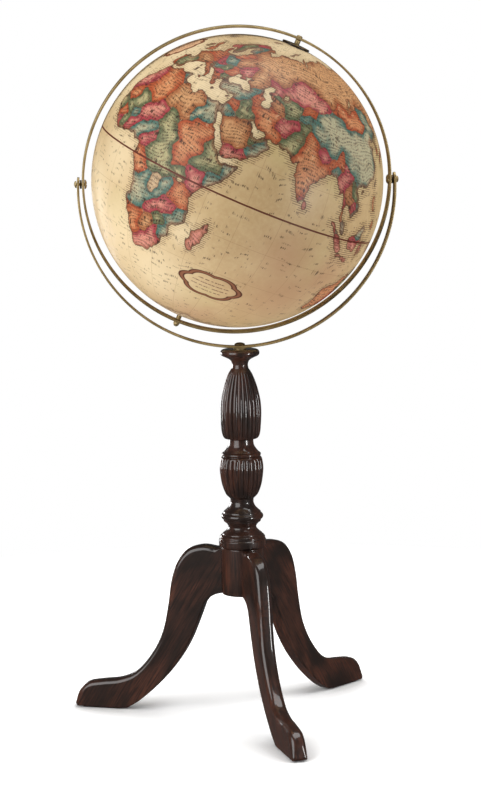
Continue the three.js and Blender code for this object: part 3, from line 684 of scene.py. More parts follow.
COASTS = """
africa -6,35.8 -2,35.2 -0.6,35.8 3,36.9 8,36.9 9.8,37.3 11,37 10.4,35.5 10.1,34 11.5,33.2 13.2,32.9 15.2,32.4
16,31.3 19,30.3 20,31 20,32 21.7,32.9 23,32.6 25,31.7 27.2,31.3 29,30.9 30,31.3 31.5,31.6 32.6,31.2 32.6,29.9
33.8,27.2 35.5,24 37.2,21 37.3,19.6 38.5,18 39.4,15.6 41.2,14.6 42.7,13 43.2,11.6 45,10.5 47,11.1 49,11.3
51.2,11.9 51.2,10.4 50,8 48,4.5 45.4,2 42.5,-0.4 41,-2.2 39.7,-4 38.8,-6 39.4,-7 39.6,-8.8 40.5,-10.7
40.7,-15 39.9,-16.3 37,-18 34.9,-19.8 35.5,-22.5 35.4,-24 32.7,-25.8 32.8,-28 31,-29.9 28,-33 25.7,-34
22.5,-34.1 20,-34.8 18.4,-34.1 18,-32 16.5,-28.6 15.2,-26.7 14.5,-22.9 12.5,-18.5 11.8,-16 13.4,-12.5
13.2,-8.8 12.3,-6 11.8,-4.7 8.8,-0.7 9.4,0.4 9.8,2.5 9.5,3.9 8.5,4.6 6,4.3 4.4,6.3 1,6 -2,4.8 -4,5.2 -7.6,4.4
-10.8,6.3 -13.2,8.5 -13.8,9.6 -16.6,12 -17.4,14.7 -16.3,16.5 -16.2,19 -17,21 -16,23.7 -14.5,26.2 -13,27.8
-9.9,29.5 -9.7,31.4 -7.6,33.6
madagascar 49.3,-12 50.4,-15.5 49.6,-17 48,-22 47,-25 45,-25.5 43.5,-23.5 43.3,-22 44.4,-20 44,-17.5
46.3,-15.7 48,-13.5
eurasia 32.4,31.2 32.4,29.9 34.3,27.8 35,29.4 35.2,28 38,24 39.1,21.4 41,18.5 42.5,16.8 43.3,13.3 45,12.8
49.1,14.5 52.2,15.6 54,17 56.5,18 58,20.4 59.8,22.5 58.5,23.7 56.4,26.3 55.2,25.2 54,24.2 51.6,24.3 51.2,25.9
50.8,25 50.2,26.6 48,29.4 48.6,30 50.8,29 52.6,27.5 56.3,27.1 57,26 60.6,25.3 66.8,24.9 67.5,23.8 68.8,23
70.3,22.9 69,22.3 71,20.8 72.4,22 72.7,21 72.8,19 73.8,15.4 74.8,12.9 76.2,10 77.5,8.1 79.2,9.4 79.9,10.3
80.3,13.1 80.1,15.3 83.3,17.7 86,19.9 88,21.7 91.8,22.3 94.2,18.5 95,15.8 96.5,16.8 97.6,16.3 98.2,13.5
98.3,8 100.3,5.4 101.3,2.9 103.8,1.3 104,2.5 103.4,4 102.3,6.2 100.7,7.2 99.8,9.3 99.5,11 100.5,13.5 102.5,12
103.5,10.6 104.8,8.6 106.8,10.3 109.2,11.8 109.3,13.8 107.8,16.4 105.8,18.7 106.7,20.7 109.8,21.4 110.3,20.3
110.6,21.3 114.2,22.3 118.2,24.5 119.7,26 121,28 122,29.8 121.8,31.3 120.8,33 120.3,35.9 122.6,37.2 119,37.3
117.8,38.9 121,40.8 121.3,38.8 124.3,39.9 125.2,38.5 126.6,37.2 126.3,34.5 129.1,35.2 129.4,37 127.5,39.3
129.8,41.5 132,43.1 135.5,44.5 138.5,46.8 140.4,49 141,52.8 138.5,54.5 137,54 143,59.3 151,59.4 155,59.3
160,61.8 164.5,62.5 161.5,60.4 158.8,58 156,57 155.6,53 156.7,50.9 158.5,53 160,54.5 162.8,56 163.3,58
165.5,60 170,60.2 174,61.8 177.5,62.6 178,64.5 190,66.1 180,68.9 176,69.8 170,69.8 161,69.6 152,70.9 145,72.3
136,71.5 127,73.5 119,73 113,74 113,76 104,77.7 97,76.2 87,75 80.5,73.6 82,71 77,72.5 72.5,71 73.5,67 72,67
70,73.2 68,71 69,68.8 64,69 58,68.8 54,68.4 44,68.5 43.3,66.5 44,66 40,64.8 37,64 33,67 41.2,67 35,69.2
26,71.1 19,69.8 14,67.3 10,64 5,60.8 5.6,58.8 7,58 10.6,59.5 11.8,57.6 13,55.5 14.3,55.5 16,56.3 18.5,59.5
17.3,61 18,62.6 20.5,63.8 22,65.6 25.2,65.2 21.2,63 21.5,60.8 25,60.1 30,59.9 24.5,59.4 23.5,58.5 24,57.1
21,56.8 20,54.9 18.7,54.5 14.3,54 12,54.2 10.5,54.4 10.3,56.5 10.6,57.7 8.2,57 8.2,55.4 8.8,53.9 7,53.4
4.6,52.6 1.8,50.9 0.2,49.5 -1.6,49.6 -2,48.6 -4.7,48.4 -2.3,47.1 -1.2,45 -1.6,43.4 -4,43.5 -8.7,43.3
-9.4,38.7 -8.9,37 -6.4,36.6 -5.4,36.1 -2.2,36.8 0.1,38.8 -0.3,39.6 2.2,41.4 3.2,42.4 5,43.3 7.3,43.7 8.9,44.4
10.3,43.5 12.2,41.8 14.3,40.7 15.7,39.9 15.7,38 16.6,38.6 16.9,39.5 17,40.4 18.4,40 16.9,41.1 16.1,41.8
13.6,43.6 12.3,45.3 13.7,45.6 13.8,44.9 16.3,43.5 18.2,42.6 19.4,41.4 19.4,40.4 20.2,39.4 21.2,38.3 21.6,37
22.5,36.5 23.2,36.6 23.9,37.8 23,39 22.9,40.5 24,40.1 26,40.9 26.2,40.2 29,41.2 28,42 27.7,42.6 29.7,45
30.8,46.5 33,46 32.6,45.4 33.5,44.5 36.4,45.2 35,46.2 36.8,46.8 39,47.1 38,46 37.4,45 37.8,44.6 39.8,43.5
41.6,41.7 39.7,41 36.4,41.3 35,42 31.5,41.4 29.2,41.2 29,40.9 27.5,40.4 26.2,39.9 26.5,38.4 27.3,37 28.3,36.7
30.7,36.8 32.6,36.1 34.5,36.7 36,36.7 35.8,35.5 35.5,33.9 34.9,32.8 34.3,31.3
britain -5.7,50.1 -3.5,50.3 -1.2,50.7 1.3,51.1 0.8,51.5 1.7,52.6 0.3,53 -0.2,54 -1.5,55 -2.2,56 -2,57.6
-4,57.7 -3.1,58.6 -5,58.6 -5.8,57 -5.5,56 -4.8,54.9 -3.2,54.9 -3,53.5 -4.5,53.2 -4.2,52.3 -5.1,51.8 -3.1,51.4
-4.2,51.2
ireland -6.2,53.5 -5.6,54.6 -7.2,55.3 -8.5,54.4 -10,54.2 -9.2,53.1 -10.3,52 -8.5,51.7 -6.3,52.2
iceland -22,64 -18.8,63.4 -14.5,64.4 -14.7,65.8 -16.2,66.5 -21,66 -24,65.5 -22,64.8
sicily 12.5,38 15.6,38.2 15.1,36.7 12.9,37.6
sardinia 8.2,40.9 9.7,41 9.5,39.2 8.5,39
corsica 8.6,42.4 9.4,43 9.5,42 9,41.4
crete 23.6,35.4 26.2,35.2 24.8,34.9
cyprus 32.4,35 34.4,35.6 33.8,34.9 32.8,34.6
novaya_zemlya 52,71.5 56,73.2 61,75.5 68,76.8 64,75.8 58,73.5 56,70.8
svalbard 11,79.5 18,80 25,80 22,78.2 16.5,76.7
sri_lanka 79.8,8 80.2,9.7 81.3,8.5 81.8,7 80.6,6 79.9,6.8
sumatra 95.3,5.6 97.5,5.2 100.5,2.3 103.5,-0.5 104.5,-1.8 106,-3.2 105.8,-5.7 104.5,-5.7 102.2,-3.7 100.3,-1
98.7,1.7 97.5,3
java 105.2,-6.8 106.7,-6 110.8,-6.5 112.7,-7 114.4,-7.8 114.3,-8.6 110,-8.1 106.5,-7.4
borneo 109,1.5 111.3,2.5 113.2,3.5 115,5 116.8,7 119,5.3 117.8,3.8 118,2 119,1 117.5,0 116.5,-2 115.9,-4
114.5,-4 111.8,-3.4 110.2,-2.9 109.2,-0.5
sulawesi 119.8,0.7 121,1.3 125,1.6 124,0.4 120.5,0.5 120.8,-1 123,-0.8 122,-1.8 121.5,-2 122.8,-4 121.6,-4.7
121,-2.8 120.4,-3 120.4,-5.5 119.5,-5.5 119,-3 119.6,-1
new_guinea 131,-0.8 134,-0.8 135,-3.3 138,-1.7 141,-2.6 145.5,-4.7 147.8,-6.1 147,-6.8 148.5,-8.8 150.8,-10.3
149,-10.3 146.5,-9 144,-7.7 142.5,-9.3 139,-8.1 138,-6 135,-4.4 133,-4 132,-2.8 133.8,-2.3 131.3,-1.5
luzon 120.5,18.5 122.2,18.4 121.6,15.8 124,13 123.8,12.7 121,13.7 120.2,15
mindanao 122,7 124,8.5 125.5,9.7 126.5,7.5 125.5,5.7 124,6.5
taiwan 120.2,23 121.5,25.2 121.9,25 120.8,22
hainan 108.8,19.2 110.5,20 111,19.5 109.5,18.3
japan 130,33.5 131,34 133,35.5 136,35.8 137,37.3 139.5,38.5 140,41 141.4,41.4 142,39.5 141,38 140.8,35.7
139.5,35 137,34.6 135.8,33.5 135,34.6 132.5,34.2 131.8,33 131.4,31.5 130.3,31.2
hokkaido 140,42 141.8,45.4 145.4,43.3 143.2,42
sakhalin 142,46 143.5,49 143,54 142.3,53.5 142,50
australia 113.7,-22.5 114.2,-26 115.7,-31.8 115,-34.2 118,-35 121,-33.8 124,-33 126,-32.2 129,-31.6
131.5,-31.5 134,-32.8 135.5,-34.8 137.8,-32.7 137.8,-35.2 139.5,-36 140.8,-38 143.5,-38.8 146.4,-39 150,-37.4
151,-34 153,-31 153.4,-28 151,-24 149,-21 146.5,-19 145.4,-15 143.8,-14.4 142.5,-10.8 141.6,-13 141,-17
139.5,-17.6 136,-15.8 136.8,-12.3 133,-11.6 131,-12.2 129.5,-14.9 127,-14 125,-15.2 122.3,-17.5 122,-18.3
119,-20 116.5,-20.8
tasmania 144.7,-40.8 148.3,-41 147,-43.5 145.5,-42.8
new_zealand_north 172.7,-34.4 175.5,-36.5 178.4,-37.8 177,-39.5 175.3,-41.6 174,-39.4 175,-38
new_zealand_south 172.7,-40.5 174.3,-41.7 172.8,-43.7 170.7,-45.9 168.8,-46.6 166.5,-45.8 170.5,-43
north_america -168,65.7 -163,66.5 -166.5,68.4 -156.5,71.3 -141,69.6 -134,69.6 -127,70.3 -115,68.6 -108,67.8
-98,67.8 -94.5,71.9 -90,68.5 -85,69.8 -81.5,68.5 -86,66.5 -91,63.5 -94.7,60.5 -94,58.8 -92.5,57 -88,56.5
-82.5,55.2 -82,52.9 -79.5,51.4 -79,54.5 -76.8,57 -78.3,60 -77.5,62.4 -73.5,62.3 -70,61 -69.5,59 -66,58.8
-64.5,60.3 -61.8,57.5 -57.5,54.5 -56,52 -60,50.2 -66,50.1 -70,47.5 -65,49.2 -64.5,47.8 -64,46.2 -61,45.6
-65.5,43.5 -67,44.8 -70.3,43.3 -70,41.7 -74,40.6 -74.2,39.4 -75.7,37.5 -75.6,35.3 -78,33.9 -81.2,31.5
-81.3,29.8 -80,26.8 -80.4,25.2 -81.8,26.2 -82.7,28 -84,30 -85.4,29.8 -89,30.3 -89.4,29.1 -91.5,29.5
-94.5,29.5 -97.2,27.7 -97.5,25 -97.8,22.3 -96.3,19.2 -94.5,18.2 -91.5,18.5 -90.5,20.7 -87,21.5 -87.5,19.5
-88.3,17.8 -88.8,15.9 -84,15.8 -83.3,14.8 -83.7,11.5 -82,9 -79.8,9.5 -77.5,8.5 -77.5,7.5 -80.3,7.5 -83,8.3
-85.8,10 -87.5,12.8 -91.5,14 -94.5,16.1 -99,16.8 -102.5,18 -105.5,20.3 -105.7,22.5 -109,25.6 -112.5,29.5
-114.7,31.7 -112.8,28.3 -111,25.5 -109.5,23.1 -112,24.8 -114.9,27.8 -115.7,29.6 -117.2,32.7 -118.4,34
-120.6,34.6 -122.4,37.4 -124.3,40.4 -124,44 -124.6,48.2 -122.6,47.5 -123,49.2 -127.5,51 -130.3,54.5 -134,58
-137.5,58.8 -144,60 -148.5,60 -151.5,59.3 -151,61.2 -154,58.8 -158,56.5 -163.5,54.8 -160,56 -157.5,58.7
-162,58.7 -162,59.9 -166,61.6 -164.5,63.2 -161,63.6 -161,64.6 -166,64.5
baffin -64.5,63 -72,64 -78,65 -73,67.5 -79,70 -88,71 -90,73.8 -80,73.7 -72,71.5 -67.5,69.5 -61.5,66.7
victoria -117,70 -105,69 -101,70 -105,73 -115,73.3 -119,71.5
banks -125,72 -120,71.5 -118,74 -124,74.3
ellesmere -80,76.2 -90,76.5 -95,80 -90,82 -65,83 -62,82 -75,79
newfoundland -59.3,47.7 -55.5,51.5 -53,48.5 -53,46.7 -55.8,46.9
greenland -44,60 -48,61 -53.5,66.5 -51,69.5 -55,71.5 -58.5,75.5 -68,76 -72,78.3 -66,80 -60,82 -40,83.4
-22,82.5 -18,80 -20,76 -22,72 -25,70 -32,68 -40,65
cuba -84.9,21.9 -82.5,23.1 -79.5,22.8 -75,20.7 -74.2,20.2 -77.5,19.9 -77.8,20.8 -82,22.5
hispaniola -74.4,18.4 -72.8,19.9 -69.9,19.7 -68.4,18.5 -71,17.8
south_america -77.5,8.5 -75.5,10.6 -71.8,12.3 -71.7,10.8 -70,12 -68,10.6 -62,10.7 -60.5,8.5 -57,6 -54,5.8
-51.5,4.3 -50,1.5 -50.5,0 -48.5,-1 -44.5,-2.6 -40,-2.9 -37.3,-4.7 -35.2,-5.4 -34.8,-7.5 -36.5,-10.5 -38.5,-13
-39.1,-17.5 -40.8,-21.5 -42,-23 -45.5,-23.7 -48.5,-26 -48.8,-28.5 -50.7,-31 -53.5,-34 -56.5,-34.9 -58.4,-34
-57.2,-36.3 -58,-38.2 -62.2,-39 -65,-41 -63.7,-42.7 -65.5,-45 -67.5,-46.3 -65.8,-48 -69,-51 -68.4,-52.5
-65.2,-54.7 -69,-55.4 -73.5,-53 -75.5,-49 -75.3,-46.8 -73.5,-44 -73.5,-40 -73.3,-37 -71.6,-33 -71.4,-29
-70.3,-23.5 -70.2,-18.5 -73,-16.5 -76.2,-14 -78.5,-10 -79.8,-7.3 -81.2,-5.8 -80.2,-3.3 -80.9,-2.2 -80,0.8
-78.7,1.8 -77.2,4 -77.5,6.8
antarctica -180,-78 -158,-77.5 -135,-74.5 -110,-75 -100,-72 -75,-72.5 -68,-68 -62,-64.3 -57,-63.3 -60,-66
-62,-73 -60,-75 -45,-78 -35,-78 -20,-73.5 0,-70.5 20,-70 40,-69 55,-66.5 70,-69 85,-66.8 110,-66 135,-66.2
150,-68.5 170,-71.5 165,-77.5 180,-78 180,-90 -180,-90
"""
LAKES = """
caspian 49,46.5 53,46.8 52.8,45.2 51,44.5 50.3,44.3 51.5,43.2 52.6,42 53.8,41.5 52.8,40 53.8,39 53.8,37
51,36.8 49,37.6 49,39.2 50.3,40.4 49,41.2 47.8,42.8 47.5,44 46.8,44.8
aral 58.5,44 60,43.7 61.5,45 61,46.5 59,46.2
victoria 31.7,-1 34,-0.5 33.8,-2 32.5,-2.5
baikal 104,51.4 106,52.3 109.7,55.6 109,55.7 105.5,52.4 103.8,51.8
superior -92,46.7 -88,48.8 -84.8,46.8 -88,46.9
michigan -87.6,42 -86.3,42.5 -85.2,45.5 -87.8,44.5
huron -84,45.8 -80,45.5 -81.8,43.2 -83,44
erie_ontario -83,41.8 -79,42.8 -76.3,43.6 -79.3,43.6 -81.5,42.6
"""
# Each colour's countries, as points that lie well inside them.
COUNTRIES = """
orange -10,20 3,30 2,26 5,24 7,33 -2,30 0,34 30,16 28,12 33,12 26,16 34,18 31,20 29,9 31,6 35,-6 33,-4 37,-9
-10.5,11 11.7,-0.7 17,-22 16,-19 18,-26 14,-2.6 14.2,0.3 54,32 50,34 57,30 58,34 47,37 60,28 38,34 77,22
75,27 79,26 83,23 78,17 76,14 79,12 73,23 77,31 88,26 93,26 86,21.5 104,47 96,48 110,46 75,41.5 25,46 22,39
-8.2,40 12,43 15,41 10,51 0,52 -3,57 24,57 122,-26 118,-30 125,-20 -102,23 -98,19 -74,4 -72,7 -58,-23 -65,-35
-68,-42 -67,-28 -69,-50 127.5,36 122,15 125,8 21,41
rose -6,32 -13,25 9,17 5,15 12,20 38,1 38,-2 36,3 -1,8 1,9.5 -9.5,6.3 12.5,6 14,9 27,-14 24,-14.5 30,-13
34,-13 24,-30 20,-32 28,-28 29,-25 27,-32 47,-19 48,-15 46,-23 45,15 48,15.5 51,16.5 66,34 63,33 69,35
84,28.3 96,21 97,25 95.5,18 98.3,14 80.6,7.5 105,12.5 101,0 98,3 104,-4 110,-7 114,-1 120,-3 136,-3 68,48
60,48 52,49 75,48 80,49 66,51.5 32,49 15,49.8 9,61 17,68 -100,60 -120,58 -80,50 -110,66 -70,54 -65,8 -78,-1.5
-71,-35 -71,-25 -72,-45 134,-29 175,-38 170,-44 138,36 142,43 131,32 20,43.8
green -3,17 -7,14 -1,20 18,15 18,19 17,11 21,13 39,9 42,8 37,7 38,12 45,7 32.5,1.5 -5.5,7.5 -14.5,14.2 20,6.5
25,5.5 16.8,2.5 23,1.5 26.5,0.5 19.5,0 29.5,-19 43.5,33 45,31.5 44,36 54,23.8 68,29 70,32 65,27.5 68,26 73,35
103,19 107,17 60,42.5 63,41.5 67,40 25.5,42.7 19.5,47 -4,40 -1,42 -8,53 15,61 17,65 127,40 145,-6 143,-8
-100,40 -90,35 -115,42 -80,38 -122,45 -95,45 -152,65 -145,62 -50,-10 -60,-5 -45,-15 -55,-15 -42,-7 134,-20
144,-37
teal 9.5,35.5 29,27 27,24 32,24 28,30 46,4 49,9.5 44.5,1.5 8,9 5,8 11,11 6,6.5 -2,12.5 17,-12 15,-10 20,-13
20,-9 18.5,-5.5 27.5,-4.5 26.5,-9 22.5,-11 16,-15.5 37,-14 35,-17 34,-19.5 33,-23 57,21 55,18.5 33,39 38,38.8
42,39 28.5,39 36,31 90,24 105.5,21.5 108,14.5 106.5,11 102,4 117,5.5 114,4 104,35 95,36 85,42 88,32 80,35
112,30 116,27 110,24 116,34 117,40 125,45 122,50 108,38 100,28 92,44 75,39 20,52 16,47.5 26,64 -40,72 -35,78
-45,66 -25,71 -59,5 -55,4 -65,-17 -56,-33 144,-23 141,-20
tan 2,47 5,45 17,28 14,30 20,25 23,29 14,26 22,22.5 24,-22 45,24 42,21 48,22 40,26 44,28 50,22 101,15.5
100,18 99,9.5 58,39.5 28,53 40,56 50,57 60,58 70,60 85,60 100,62 115,60 130,58 145,62 160,65 45,50 40,48
55,53 100,54 125,53 70,68 95,70 120,68 145,68 170,65 35,62 45,64 60,65 86,54 133,48 -75,-10 -73,-14 -85,13
146,-32
cream 22,-4.5 23.5,-7 0,-80 60,-75 120,-75 180,-80 -120,-80 -60,-75 -65,-68 57,73.5 18,79
"""

def on_ball(lonlat):
    """Unit vectors of longitude and latitude pairs."""
    lon, lat = np.radians(np.asarray(lonlat, float)).T
    return np.c_[np.cos(lat) * np.cos(lon), np.cos(lat) * np.sin(lon), np.sin(lat)]


ROUGH_LENGTH = 0.45         # degrees
ROUGH_SHIFT = 0.13          # usual share of a stretch's length


def roughened(outline, rng):
    """The outline with its stretches halved, and their middles shifted sideways, until they are short."""
    points = [np.array(p) for p in outline]
    while True:
        found, split = [], False
        for a, b in zip(points, points[1:] + points[:1]):
            found.append(a)
            step = b - a
            if math.hypot(step[0] * math.cos(math.radians(a[1])), step[1]) > ROUGH_LENGTH:
                shift = rng.normal() * ROUGH_SHIFT
                found.append((a + b) / 2 + np.array([-step[1], step[0]]) * shift)
                split = True
        points = found
        if not split:
            return np.array(points)


def inside(outlines, lons, lats):
    """Which points of the grid lats by lons are inside any of the outlines."""
    found = np.zeros((len(lats), len(lons)), bool)
    for start in outlines:
        end = np.roll(start, -1, 0)
        for row, lat in enumerate(lats):
            crossing = (start[:, 1] > lat) != (end[:, 1] > lat)
            a, b = start[crossing], end[crossing]
            cuts = np.sort(a[:, 0] + (lat - a[:, 1]) / (b[:, 1] - a[:, 1]) * (b[:, 0] - a[:, 0]))
            for wrap in (-360, 0, 360):
                found[row] |= np.searchsorted(cuts, lons + wrap) % 2 == 1
    return found


class Chart:
    """Where land, sea and each colour of country lie: signed distances in degrees from their edges."""

    def __init__(self):
        rng = np.random.default_rng(7)
        self.lands = [roughened(outline, rng) for outline in places(COASTS)]
        self.lakes = [roughened(outline, rng) for outline in places(LAKES)]
        shore = on_ball(np.vstack(self.lands + self.lakes))
        self.shore = kdtree.KDTree(len(shore))
        for i, point in enumerate(shore):
            self.shore.insert(point, i)
        self.shore.balance()
        self.seeds = [on_ball(points) for points in places(COUNTRIES)]

    def land(self, lons, lats, grid):
        dry = (inside(self.lands, lons, lats) & ~inside(self.lakes, lons, lats)).ravel()
        return np.where(dry, 1, -1) * np.degrees([self.shore.find(point)[2] for point in grid])

    def countries(self, grid):
        wander = sum(np.sin(grid[:, [1, 2, 0]] * k + phase) / k for k, phase in ((23, 0), (47, 2), (95, 4)))
        grid = grid + 0.38 * wander
        grid /= np.linalg.norm(grid, axis=1)[:, None]
        nearest = np.stack([(grid @ seeds.T).max(1) for seeds in self.seeds], 1)
        away = np.degrees(np.arccos(np.clip(nearest, -1, 1)))
        return np.stack([(np.delete(away, i, 1).min(1) - away[:, i]) / 2 for i in range(len(self.seeds))], 1)


# Each colour's strong band along its borders, and its middle.
COLOURS = {"orange": ((168, 78, 46), (200, 134, 90)), "rose": ((156, 56, 66), (204, 134, 116)),
           "green": ((84, 98, 68), (170, 162, 118)), "teal": ((66, 108, 98), (176, 170, 138)),
           "tan": ((160, 100, 62), (198, 148, 102)), "cream": ((178, 150, 114), (204, 178, 142))}
LETTER_INK, COAST_INK, BORDER_INK, HACHURE_INK = (54, 36, 27), (70, 44, 30), (92, 46, 34), (92, 66, 42)
GRATICULE_INK, EQUATOR_INK, OVAL_INK, OVAL_BAND = (138, 102, 66), (96, 38, 26), (84, 42, 30), (134, 84, 58)
EDGE = 0.07                 # softness of a printed edge, in degrees
GRATICULE = 15.0
# Rows of writing: their spacing in degrees, strokes for each degree along them, half their height, the
# level of noise above which there are words, and how strong they are on land and at sea.
WRITING = ((1.3, 3.6, 0.27, 0.39, 0.85, 0.0), (3.1, 1.7, 0.5, 0.57, 0.9, 0.0),
           (2.3, 2.6, 0.3, 0.57, 0.0, 0.75))
BALL_RADIUS = 203.2
# The two printed ovals: where the middle is, how far the length leans from east in degrees, half the
# length and half the height in millimetres on the ball, the pairs of lobes, and the colour inside.
TITLE = ((61.0, -37.7), 2, (40.0, 21.5), 3.0, None)
OCEAN_OVAL = ((-24.0, 45.5), 84, (29.0, 21.0), 5.0, (206, 164, 126))


def map_paper():
    """The printed map, from the outlines' distances that the two halves of the ball carry."""
    n = Nodes("map_paper", coat_weight=0.12, coat_roughness=0.35, specular_ior_level=0.2)
    place = n.attribute("map_place")
    # pale_paper_and_sheen: paler paper with a painted highlight of the tall left softbox's light and
    # reflection
    coast, pale_paper_and_sheen = n.attribute("coast", "Fac"), n.attribute("pale_paper_and_sheen", "Fac")
    x, y, z = place.parts()
    latitude, longitude = z.math("ARCSINE").math("DEGREES"), y.math("ARCTAN2", x).math("DEGREES")
    fibres = place.noise(38.0, 4.0, 0.65)
    hills = place.noise(21.0, 6.0, 0.7, 0.8)

    sea = printed_sea(n, place, fibres, pale_paper_and_sheen)
    land = printed_land(n, place, fibres, hills, coast)
    hachured = n.mix(hachures(place, latitude, coast, pale_paper_and_sheen) * 0.75, sea, HACHURE_INK)
    printed = n.mix(coast.ramp(-EDGE, EDGE), hachured, land)
    printed = n.mix(abs(coast).line(0.18) * 0.72, printed, COAST_INK)
    level = latitude + place.noise(3.0, 2.0) * 14.0
    for layer in WRITING:
        printed = n.mix(writing(n, longitude, level, coast, pale_paper_and_sheen, *layer), printed, LETTER_INK)
    meridians = (longitude.near(GRATICULE) * z.math("ARCSINE").math("COSINE")).line(0.07, 0.05)
    parallels = latitude.near(GRATICULE).line(0.07, 0.05)
    printed = n.mix(meridians.math("MAXIMUM", parallels) * 0.5, printed, GRATICULE_INK)
    printed = n.mix(abs(latitude).line(0.34, 0.08) * 0.95, printed, EQUATOR_INK)
    for drawn in (TITLE, OCEAN_OVAL):
        printed = oval(n, printed, place, hachured, *drawn)
    relief = coast.ramp(-0.2, 0.6) * (hills * 2.0 + 0.4)
    return n.finished(printed, fibres.ramp(0.3, 0.7, 0.38, 0.52), relief, 0.0005, 0.35)


def printed_sea(n, place, fibres, pale_paper_and_sheen):
    """Antique cream, tanned in patches and faintly green in others, and paler in patches that also carry a
    painted highlight.
    """
    sea = n.mix(place.noise(3.2, 5.0, 0.6, 0.4).ramp(0.3, 0.7), (197, 170, 126), (182, 152, 108))
    sea = n.mix(place.noise(1.9, 2.0).ramp(0.5, 0.66, 0.0, 0.4), sea, (186, 172, 116))
    sea = n.mix(fibres.ramp(0.35, 0.75, 0.0, 0.3), sea, (206, 184, 142))
    sea = n.mix(n.attribute("tanned", "Fac"), sea, (176, 134, 98))
    # paler paper and a painted highlight, in patches on the left and upper side of the ball
    return n.mix(pale_paper_and_sheen, sea, (222, 202, 164))


def printed_land(n, place, fibres, hills, coast):
    """Countries with a strong band along the borders and a paler middle, under hills and dark borders."""
    fields = n.attribute("countries_a").parts() + n.attribute("countries_b").parts()
    border = None
    land = COLOURS["cream"][1]
    for field, (band, paler) in zip(fields, COLOURS.values()):
        tint = n.mix((field + fibres * 1.6).ramp(1.2, 3.6), band, paler)
        land = n.mix(field.ramp(-EDGE, EDGE), land, tint)
        border = abs(field) if border is None else border.math("MINIMUM", abs(field))
    land = n.mix(coast.ramp(0.2, 1.6, 0.6, 0.0), land, (140, 78, 50))
    land = n.mix(place.noise(150.0, 3.0, 0.6).ramp(0.48, 0.7, 0.0, 0.55), land, (104, 62, 40))
    land = n.mix(hills.ramp(0.54, 0.68, 0.0, 0.6), land, (108, 66, 44))
    land = n.mix(hills.ramp(0.44, 0.3, 0.0, 0.45), land, (226, 194, 148))
    return n.mix(border.line(0.16) * 0.55, land, BORDER_INK)


def hachures(place, latitude, coast, pale_paper_and_sheen):
    """Strokes at sea along the shore, drawn along the parallels to ragged ends."""
    ragged = place.noise(40.0, 3.0) * 6.6 - 5.4
    strokes = coast.ramp(ragged, ragged + 0.5) * latitude.near(0.8).line(0.15, 0.1)
    # fainter where the paler paper and painted highlight lie
    return strokes * pale_paper_and_sheen.ramp(0.25, 0.6, 1.0, 0.3)


def writing(n, longitude, level, coast, pale_paper_and_sheen, period, spread, half, threshold, ashore, afloat):
    """Place names, as rows of plain strokes with no letters in them."""
    row = (level / period).math("FLOOR")
    # a little more writing where the paler paper and painted highlight lie
    words = n.combine(longitude * 0.24, row * 7.3, 0.0).noise(1.0, 1.0) + pale_paper_and_sheen * 0.1
    letters = n.combine(longitude * spread, row * 3.1, 5.0)
    tall = (letters.noise(2.3, 1.0) - 0.5) * (period * 0.7)
    off = (level + period / 2).near(period) + tall
    strokes = words.ramp(threshold, threshold + 0.04) * letters.noise(1.0, 2.0).ramp(0.47, 0.53)
    return strokes * off.line(half, 0.12) * coast.ramp(-0.4, 0.4, afloat, ashore)


def oval(n, printed, place, sea, centre, lean, half, lobes, colour):
    """A scalloped double oval with plain rows of strokes in it, where such a map has a title."""
    outward = Vector(on_ball([centre])[0])
    east = Vector((0, 0, 1)).cross(outward).normalized()
    lean = math.radians(lean)
    along = east * math.cos(lean) + outward.cross(east) * math.sin(lean)

    def reach(direction, scale):
        inputs = {0: place, 1: tuple(direction * scale)}
        return n.add("ShaderNodeVectorMath", inputs, output="Value", operation="DOT_PRODUCT")

    u, v = reach(along, BALL_RADIUS / half[0]), reach(outward.cross(along), BALL_RADIUS / half[1])
    facing = reach(outward, 1.0).math("GREATER_THAN", 0.5)
    radius = (u * u + v * v).math("SQRT")
    edge = radius - abs((v.math("ARCTAN2", u) * lobes).math("COSINE")) * 0.13
    rings = abs(edge - 0.98).line(0.03, 0.015).math("MAXIMUM", abs(edge - 0.82).line(0.03, 0.015))
    row = v * 3.2
    words = n.combine(u * 9.0, row.math("FLOOR"), 0.0).noise(1.6)
    strokes = abs(row.math("FRACT") - 0.5).line(0.13, 0.03) * words.ramp(0.42, 0.5)
    strokes = strokes * radius.ramp(0.62, 0.7, 0.75, 0.0)
    printed = n.mix(edge.ramp(0.9, 0.93, 1.0, 0.0) * facing, printed, colour or sea)
    printed = n.mix(abs(edge - 0.91).line(0.07, 0.015) * facing, printed, OVAL_BAND)
    return n.mix(rings.math("MAXIMUM", strokes) * facing, printed, OVAL_INK)


MAP_COLUMNS, MAP_ROWS, INNER_ROWS = 600, 150, 14
PLATE_THICKNESS = 3.0
POLE_HOLE = 6.3
SEAM = 0.15
FACING_LONGITUDE = 61.8     # the meridian that local -Y looks at
PATCH_STRENGTH = 0.7
# Round patches of paler paper that also carry a painted highlight (the tall left softbox's light and its soft
# reflection), and of browner paper, as (longitude, latitude): size in degrees.
PALE_PAPER_AND_SHEEN = {(0, -4): 15, (14, 38): 9, (5, 41): 7, (20, 34): 7, (28, 34): 7, (14, -30): 18, (30, -42): 18,
            (-12, -20): 18, (-22, 22): 16, (-15, 45): 16, (38, 20): 5, (34, 26): 4, (51, 27): 4, (50, 42): 6,
            (33, 43): 6, (46, 12): 4, (42, -20): 7, (40, 76): 12, (85, 80): 12}
TANNED = {(95, -30): 20, (85, -14): 14, (108, -18): 14, (60, -62): 14}


def patches(grid, spots):
    """Soft patches, strongest in their middles."""
    found = np.zeros(len(grid))
    for centre, size in spots.items():
        away = np.degrees(np.arccos(np.clip(grid @ on_ball([centre])[0], -1, 1)))
        found = np.maximum(found, np.exp(-(away / size) ** 2))
    return found * PATCH_STRENGTH


